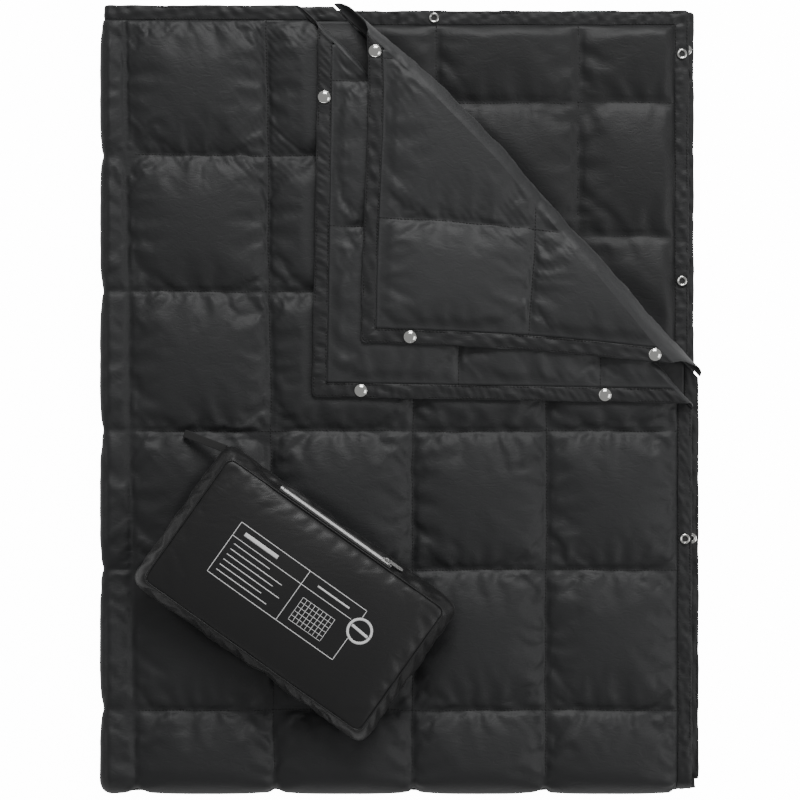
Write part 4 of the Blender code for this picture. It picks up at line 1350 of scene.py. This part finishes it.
class QUILT_OT_lower_layers(SoftPiece, bpy.types.Operator):
    """Make the quilted lower pair of layers, whose upper face shows beyond the turned-back corner"""

    bl_idname = "quilt.lower_layers"
    bl_label = "Lower layers"

    def execute(self, context):
        rings = pair_rings(context.scene.quilt_looks, False)
        # The lower pair's cloth is the shell darkened as painted shade.
        obj = mend_normals(new_object("lower_layers", *loft(rings), quilt_cloth("painted_shade_shell")))
        keep(obj, "quilt", "shell_fabric", "lower_pair_shell", "lower_pair_batting", "lower_pair_lining")
        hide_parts("bottom_fold_inner")
        return {"FINISHED"}


class QUILT_OT_corners(SoftPiece, bpy.types.Operator):
    """Make the two turned-back corners and the rolled strips that join them to their layers"""

    bl_idname = "quilt.corners"
    bl_label = "Turned-back corners"

    def execute(self, context):
        looks = context.scene.quilt_looks
        for layer, name in CORNERS.items():
            rings = flap_rings(looks, layer)
            # The corners wear the lining colour, lighter than the shell as painted light.
            flap = mend_normals(new_object(f"{name}_quilting", *loft(rings), quilt_cloth("lining")))
            columns = rings.shape[1]
            crease_columns(flap, columns, [columns // 2 - 1, columns // 2])
            keep(flap, name, "lining_fabric", f"{name}_shell", f"{name}_batting", f"{name}_lining")
            rings, hinge_z = roll_rings(looks, layer)
            strip = mend_normals(new_object(f"{name}_turn", *loft(rings), quilt_cloth("lining")))
            columns = rings.shape[1]
            crease_columns(strip, columns, [0, columns // 2 - 1, columns // 2, columns - 1])
            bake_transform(strip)
            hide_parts(f"{name}_roll")
        return {"FINISHED"}


class QUILT_OT_hems(SoftPiece, bpy.types.Operator):
    """Make the sewn bindings of every layer and of both turned-back corners"""

    bl_idname = "quilt.hems"
    bl_label = "Hems"

    def execute(self, context):
        cloth = quilt_cloth("hem")
        for seed, (name, (outer, inner)) in enumerate(body_hem_edges().items()):
            obj = mend_normals(new_object(f"{name}_binding", *loft(band_rings(outer, inner, 40 + seed)), cloth))
            keep(obj, "quilt", "hem_fabric", name)
        for layer, name in CORNERS.items():
            outer, inner = flap_hem_edges(layer)
            obj = mend_normals(new_object(f"{name}_binding", *loft(band_rings(outer, inner, 60 + layer)), cloth))
            keep(obj, name, "hem_fabric", f"{name}_hem")
        return {"FINISHED"}


class QUILT_OT_stitches(SoftPiece, bpy.types.Operator):
    """Make the rows of stitches along the hems and the quilting seams"""

    bl_idname = "quilt.stitches"
    bl_label = "Stitches"

    def execute(self, context):
        looks = context.scene.quilt_looks
        # The thread's near-black colour is partly painted shade of the seam grooves.
        colour = np.array(looks.thread)
        thread = cloth_finish(
            "thread", colour * 0.8, colour, roughness=0.6, threads=4000.0, crinkle=0.05, thread_bump=0.2
        )
        lift = HEM_THICK * 0.5
        rows = {"quilt": [], "lower_corner": [], "upper_corner": []}
        first_point = {"layer_1_right_hem": 1, "layer_1_top_hem": 1, "layer_2_right_hem": 1, "layer_3_hem": 0}
        hems = body_hem_edges()
        bands = [(name, *flap_hem_edges(layer)) for layer, name in CORNERS.items()]
        for name, first in first_point.items():
            bands.append(("quilt", *(edge[first:-FOLD_POINTS] for edge in hems[name])))
        for body, outer, inner in bands:
            for share in (0.13, 0.93):
                rows[body].append(outer + (inner - outer) * share + (0, 0, lift))
        rows["quilt"] += self.top_seams(looks) + self.third_seams(looks)
        for layer, name in CORNERS.items():
            rows[name] += self.flap_seams(looks, layer)
        for body, paths in rows.items():
            parts = [stitch_row(path, looks.stitch) for path in paths if len(path) > 3]
            keep(new_object(f"{body}_stitches", *join_parts(parts), thread), body, "shell_fabric")
        return {"FINISHED"}

    def top_seams(self, looks):
        """Seams of the first layer, up to the fold."""
        spans = {"x": (FOLD_BOTTOM + 2 * MM, TOP[1] - HEM, 300, 5), "y": (FOLD_LEFT, RIGHT[1] - HEM, 240, 6)}
        made = []
        for axis, (low, high, count, last) in spans.items():
            for number in range(1, last):
                x, y = seam_path(TOP_SQUARES, axis, number, np.linspace(low, high, count))
                shown = reach_of(x, y) < ROLL_NEAR[1] - 2 * MM
                made.append((x[shown], y[shown]))
        return [on_face(x, y, MID[1] + top_face_height(looks, x, y)[0]) for x, y in made if len(x) > 3]

    def third_seams(self, looks):
        """Seams of the third layer, where it shows beyond the corner."""
        made = []
        for axis, number in (("x", 3), ("x", 4), ("y", 4), ("y", 5)):
            high = (TOP if axis == "x" else RIGHT)[3] - HEM
            x, y = seam_path(THIRD_SQUARES, axis, number, np.linspace(0, high, 260))
            shown = reach_of(x, y) > ROLL_FAR[2] - 8 * MM
            x, y = x[shown], y[shown]
            made.append(on_face(x, y, MID[3] + third_face_height(looks, x, y)[0]))
        return made

    def flap_seams(self, looks, layer):
        """Seams of a turned-back corner."""
        made = []
        for axis, number in (("x", 1), ("x", 2), ("y", 1), ("y", 2)):
            e, d = seam_path(FLAP_SQUARES[layer], axis, number, np.linspace(HEM, 420 * MM, 260))
            x, y = flap_plan(layer, e, d)
            path = on_face(x, y, FLAP_MID[layer] + flap_heights(looks, layer, e, d)[0])
            made.append(shaped_corner_shift(layer, path[reach_of(x, y) < ROLL_NEAR[layer] - 1 * MM]))
        return made


class QUILT_OT_snaps(SoftPiece, bpy.types.Operator):
    """Make the pressed steel caps, sockets and studs of every snap"""

    bl_idname = "quilt.snaps"
    bl_label = "Press snaps"

    def execute(self, context):
        steel = hard_finish("snap_steel", context.scene.metal_looks.steel, roughness=0.42, metallic=0.7, scuff=0.1)
        # Dark finish for the discs in the socket holes, painted shade.
        dark = hard_finish("snap_well", (0.012, 0.012, 0.012), roughness=0.6, metallic=0.0)
        seat = HEM_THICK / 2 + 0.3 * MM
        for node in sorted(frame["nodes"]):
            kind = node.rsplit("_", 1)[-1]
            if "_snap_" not in node or kind not in SNAP_PROFILES:
                continue
            low, high = node_box(node)
            layer, body = next((found for found in CORNERS.items() if node.startswith(found[1])), (0, "quilt"))
            hem_z = FLAP_MID[layer] if layer else MID[int(node.split("_")[1])]
            place = shaped_corner_shift(layer, (*((low + high) / 2)[:2], hem_z))
            facing = 1 if (body == "quilt") != (kind == "cap") else -1  # caps face up on the turned-back corners
            profiles = {"pressed": (SNAP_PROFILES[kind]((high[0] - low[0]) / 2, seat), 48, steel)}
            # A dark disc sits in each socket's hole as painted shade for the shadow down the hole, partly also the
            # dark spring well of a real socket.
            if kind == "socket":
                well = ((ON_AXIS, 0.9), (2.2 * MM, 0.8), (3.3 * MM, 1.0), (3.3 * MM, 0.55), (ON_AXIS, 0.55))
                profiles["well"] = (rounded_profile([(out, seat + up * MM) for out, up in well]), 32, dark)
            for part, (profile, sides, finish) in profiles.items():
                points, faces = lathe(profile, sides)
                made = new_object(f"{node}_{part}", points * (1, 1, facing) + place, faces, finish)
                keep(mend_normals(made), body, "snap_steel", *([node] if part == "pressed" else []))
        return {"FINISHED"}


class QUILT_OT_pouch(SoftPiece, bpy.types.Operator):
    """Make the filled pouch with its piped seams and printed label"""

    bl_idname = "quilt.pouch"
    bl_label = "Pouch"

    def execute(self, context):
        looks = context.scene.pouch_looks
        colour = np.array(looks.cloth)
        cloth = cloth_finish(
            "pouch_cloth", colour * 0.85, colour * 1.2, roughness=0.42, threads=3000.0, crinkle=0.18, thread_bump=0.1,
            sheen=0.05, scale=45.0,
        )
        points, faces, seams = pouch_shell(looks)
        points = pouch_world(points)
        middle, along, across, normal = zip_plane()
        away = points - middle
        zip_room = ((along, 84 * MM), (across, 7.5 * MM), (normal, 14 * MM))
        near = np.all([np.abs(away @ axis) < limit for axis, limit in zip_room], axis=0)
        push = np.where(near, np.maximum(away @ normal + 1.0 * MM, 0), 0)
        points = points - push[:, None] * normal
        shell = mend_normals(new_object("pouch_shell", points, faces, cloth))
        soften = shell.modifiers.new("soften", "SUBSURF")
        soften.levels = soften.render_levels = 1
        context.view_layer.objects.active = shell
        bpy.ops.object.modifier_apply(modifier="soften")
        keep(shell, "pouch", "pouch_fabric", "pouch_top_panel", "pouch_bottom_panel", "pouch_gusset", "pouch_filling")
        pipes = []
        for number, seam in enumerate(seams):
            path = points[seam]
            path = np.concatenate([path, path[:2]])
            out = path[:, :2] - POUCH_CENTRE
            out = out / np.linalg.norm(out, axis=1, keepdims=True) * 0.5 * MM
            path = path + np.column_stack([out, 0 * out[:, :1]])
            ripple = 1 + 0.18 * waves(np.arange(len(path)), 1.3, 70 + number)
            ring = oval(2.6 * MM, 2.6 * MM, 8)[None] * ripple[:, None, None]
            pipes.append(loft(tube_along(path[:-1], ring[:-1]), caps=True))
        keep(mend_normals(new_object("pouch_piping", *join_parts(pipes), cloth)), "pouch", "pouch_fabric")
        self.label(shell, looks)
        return {"FINISHED"}

    def label(self, shell, looks):
        """Plain printed lines: a frame, a grid and a ring, with no lettering."""
        tree = BVHTree.FromPolygons(
            [v.co[:] for v in shell.data.vertices], [p.vertices[:] for p in shell.data.polygons]
        )
        ink = hard_finish("label_ink", looks.print, roughness=0.55, metallic=0.0)
        lines = []

        def line(points, width):
            """A printed line through places given in millimetres from the pouch's centre."""
            path = resample(np.array(points, float) * MM, 2 * MM)
            plan = POUCH_CENTRE + path[:, :1] * POUCH_X + path[:, 1:] * POUCH_Y
            placed_path = drop_onto(tree, plan, 0.12 * MM)
            lines.append(loft(tube_along(placed_path, oval(width * MM, 0.16 * MM, 6))))

        frame_lines = (
            [(-97, 16), (-97, 34), (78, 34), (78, 24)], [(78, -4), (78, -34), (-97, -34), (-97, 16)],
            [(-97, 16), (69, 16)], [(-1, 34), (-1, -34)],
        )
        for points in frame_lines:
            line(points, 0.9)
        for column in range(9):
            line([(10 + 5.5 * column, -25), (10 + 5.5 * column, 5)], 0.6)
        for row in range(6):
            line([(10, -25 + 6 * row), (54, -25 + 6 * row)], 0.6)
        centre_u, centre_v, radius = 84.5, 10.5, 13.8
        turn = np.linspace(0, TAU, 49)
        line([(centre_u + radius * math.cos(a), centre_v + radius * math.sin(a)) for a in turn], 3.2)
        line([(73, 11.5), (96, 9.5)], 3.6)
        for row, length in enumerate((50, 72, 64, 78, 58, 70)):
            line([(-90, 9 - 7 * row), (-90 + length, 9 - 7 * row)], 1.1)
        line([(-86, 25), (-40, 25)], 5.0)
        line([(16, 25), (60, 25)], 2.2)
        keep(mend_normals(new_object("pouch_label", *join_parts(lines), ink)), "pouch", "pouch_fabric")


class QUILT_OT_zip(SoftPiece, bpy.types.Operator):
    """Make the zip's tapes, coil teeth, end stops, slider and pull"""

    bl_idname = "quilt.zip"
    bl_label = "Zip"

    def execute(self, context):
        looks = context.scene.pouch_looks
        tape = cloth_finish(
            "zip_tape", (0.02, 0.02, 0.021), (0.04, 0.04, 0.042), roughness=0.7, threads=1400.0, crinkle=0.02,
            thread_bump=0.35, sheen=0.05,
        )
        white = hard_finish("zip_white", looks.zip, roughness=0.35, metallic=0.0, scuff=0.08)
        metal = hard_finish("zip_metal", (0.74, 0.74, 0.73), roughness=0.3, metallic=0.9, scuff=0.08)
        for node in ("zip_tape_upper", "zip_tape_lower"):
            keep(refined(f"{node}_woven", node, tape, 0.2 * MM), "pouch", "zip_tape", node)
        for node in ("zip_bottom_stop", "zip_top_stop"):
            keep(refined(f"{node}_moulded", node, white, 0.3 * MM), "pouch", "zip_teeth", node)
        keep(refined("zip_slider_cast", "zip_slider", metal, 0.3 * MM), "zip_slider", "zip_pull", "zip_slider")
        keep(refined("zip_pull_cast", "zip_pull", metal, 0.22 * MM), "zip_pull", "zip_pull", "zip_pull")
        middle, along, across, normal = zip_plane()
        teeth = node_points("zip_teeth")
        run = (teeth - middle) @ along
        up = (teeth - middle) @ normal
        lift = normal * (up.min() + up.max()) / 2
        place, high = run.min() + 0.5 * MM, run.max() - 0.5 * MM
        parts, number = [], 0
        while place < high:
            side = 1 if number % 2 else -1
            start = middle + along * place + across * side * 2.3 * MM
            end = middle + along * place - across * side * 0.7 * MM
            path = line_between(start + lift, end + lift, 0.5 * MM)
            rise = np.sin(np.linspace(0.5, math.pi, len(path)))[:, None] * normal * 0.35 * MM
            ring = oval(1.15 * MM, 1.5 * MM, 8)
            parts.append(loft(tube_along(path + rise, ring, sideways=along)))
            place += TOOTH_PITCH / 2
            number += 1
        keep(mend_normals(new_object("zip_coil", *join_parts(parts), white)), "pouch", "zip_teeth", "zip_teeth")
        return {"FINISHED"}


class QUILT_OT_hang_loop(SoftPiece, bpy.types.Operator):
    """Make the webbing strap sewn to the pouch's corner, doubled back on itself"""

    bl_idname = "quilt.hang_loop"
    bl_label = "Hang loop"

    def execute(self, context):
        webbing = cloth_finish(
            "webbing", (0.014, 0.014, 0.014), (0.03, 0.03, 0.03), roughness=0.75, threads=1100.0, crinkle=0.05,
            thread_bump=0.6, sheen=0.1,
        )
        points = node_points("hang_loop")
        centre = points.mean(0)
        main = np.linalg.svd(points - centre, full_matrices=False)[2]
        way = main[0] * (np.sign((centre - (*POUCH_CENTRE, centre[2])) @ main[0]) or 1)
        side = np.cross(way, (0, 0, 1.0))
        side /= np.linalg.norm(side)
        up = np.cross(side, way)
        spans = [(points - centre) @ axis for axis in (way, side, up)]
        length, width, tall = (float(np.ptp(s)) for s in spans)
        start = centre - way * length / 2
        strap = 1.15 * MM
        gap = max(tall - 2 * strap, 0.5 * MM) / 2 + strap / 2
        run = np.linspace(0, length - gap - strap / 2, 26)
        sag = 1.6 * MM * np.sin(run / length * math.pi)
        swell = gap * (0.75 + 0.5 * smooth(0.3 * length, length, run))
        over = [start + way * r + up * (s + g) for r, s, g in zip(run, sag, swell)]
        under = [start + way * r + up * (s - g) for r, s, g in zip(run, sag, swell)][::-1]
        turn = np.linspace(math.pi / 2, -math.pi / 2, 9)[1:-1]
        tip = start + way * run[-1] + up * sag[-1]
        bend = [tip + way * math.cos(a) * gap + up * math.sin(a) * swell[-1] for a in turn]
        path = np.array(over + bend + under)
        ring = oval(width, strap, 16, 0.35)
        obj = mend_normals(new_object("hang_loop_webbing", *loft(tube_along(path, ring, sideways=side)), webbing))
        keep(obj, "hang_loop", "webbing", "hang_loop")
        return {"FINISHED"}


# ---------------------------------------------------------------- stage


class QUILT_OT_stage(SoftPiece, bpy.types.Operator):
    """Make the pale floor, the soft lights and the camera over the quilt"""

    bl_idname = "quilt.stage"
    bl_label = "Stage"

    def execute(self, context):
        looks = context.scene.stage_looks
        floor_finish, tree, shader = blank_material("floor_paper")
        shader.inputs["Base Color"].default_value = (*looks.floor, 1)
        shader.inputs["Roughness"].default_value = 0.85
        shader.inputs["Emission Color"].default_value = (1, 1, 1, 1)
        seen = tree.nodes.new("ShaderNodeLightPath").outputs["Is Camera Ray"]
        tree.links.new(math_node(tree, "MULTIPLY_ADD", seen, 14.0, 0.2), shader.inputs["Emission Strength"])
        size, below = 6.0, -0.5 * MM
        points = [(-size, -size, below), (size, -size, below), (size, size, below), (-size, size, below)]
        floor = new_object("floor", points, [[0, 1, 2, 3]], floor_finish, False)
        lights = (("key", (0.4, 3.6, 3.0), looks.key, 2.2), ("side", (2.6, -0.6, 2.2), looks.key * 0.2, 1.8))
        for name, place, power, width in lights:
            light = bpy.data.lights.new(name, "AREA")
            light.energy = power
            light.size = width
            lamp = bpy.data.objects.new(name, light)
            lamp.location = place
            lamp.rotation_euler = (-Vector(place)).to_track_quat("-Z", "Y").to_euler()
            context.scene.collection.objects.link(lamp)
        world = bpy.data.worlds.new("studio")
        world.use_nodes = True
        world.node_tree.nodes["Background"].inputs["Color"].default_value = (1, 1, 1, 1)
        world.node_tree.nodes["Background"].inputs["Strength"].default_value = looks.fill
        context.scene.world = world
        view = bpy.data.cameras.new("camera")
        view.lens = 120
        view.sensor_width = 36
        span, face_height = 0.9333, 45 * MM  # width of the view at the height of the quilt's upper face
        height = span * view.lens / view.sensor_width + face_height
        eye = bpy.data.objects.new("camera", view)
        eye.location = (0, 0, height)
        context.scene.collection.objects.link(eye)
        context.scene.camera = eye
        return {"FINISHED"}


class QUILT_PT_pieces(bpy.types.Panel):
    """Lists the quilt's sizes, colours and pieces"""

    bl_idname = "QUILT_PT_pieces"
    bl_label = "Camp quilt"
    bl_space_type = "VIEW_3D"
    bl_region_type = "UI"
    bl_category = "Quilt"

    def draw(self, context):
        for group in ("quilt_looks", "pouch_looks", "metal_looks", "stage_looks"):
            settings = getattr(context.scene, group)
            for name in settings.__annotations__:
                self.layout.prop(settings, name)
        for operator in OPERATORS:
            self.layout.operator(operator.bl_idname)


OPERATORS = (
    QUILT_OT_stage,
    QUILT_OT_upper_layers,
    QUILT_OT_lower_layers,
    QUILT_OT_corners,
    QUILT_OT_hems,
    QUILT_OT_stitches,
    QUILT_OT_snaps,
    QUILT_OT_pouch,
    QUILT_OT_zip,
    QUILT_OT_hang_loop,
)
GROUPS = {
    "quilt_looks": QuiltLooks,
    "pouch_looks": PouchLooks,
    "metal_looks": MetalLooks,
    "stage_looks": StageLooks,
}


def register():
    for made in (*GROUPS.values(), *OPERATORS, QUILT_PT_pieces):
        bpy.utils.register_class(made)
    for name, group in GROUPS.items():
        setattr(bpy.types.Scene, name, bpy.props.PointerProperty(type=group))


def unregister():
    for name in GROUPS:
        delattr(bpy.types.Scene, name)
    for made in (QUILT_PT_pieces, *reversed(OPERATORS), *reversed(GROUPS.values())):
        bpy.utils.unregister_class(made)


def main():
    register()
    for operator in OPERATORS:
        family, name = operator.bl_idname.split(".")
        getattr(getattr(bpy.ops, family), name)()
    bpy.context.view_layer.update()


if __name__ == "__main__":
    main()
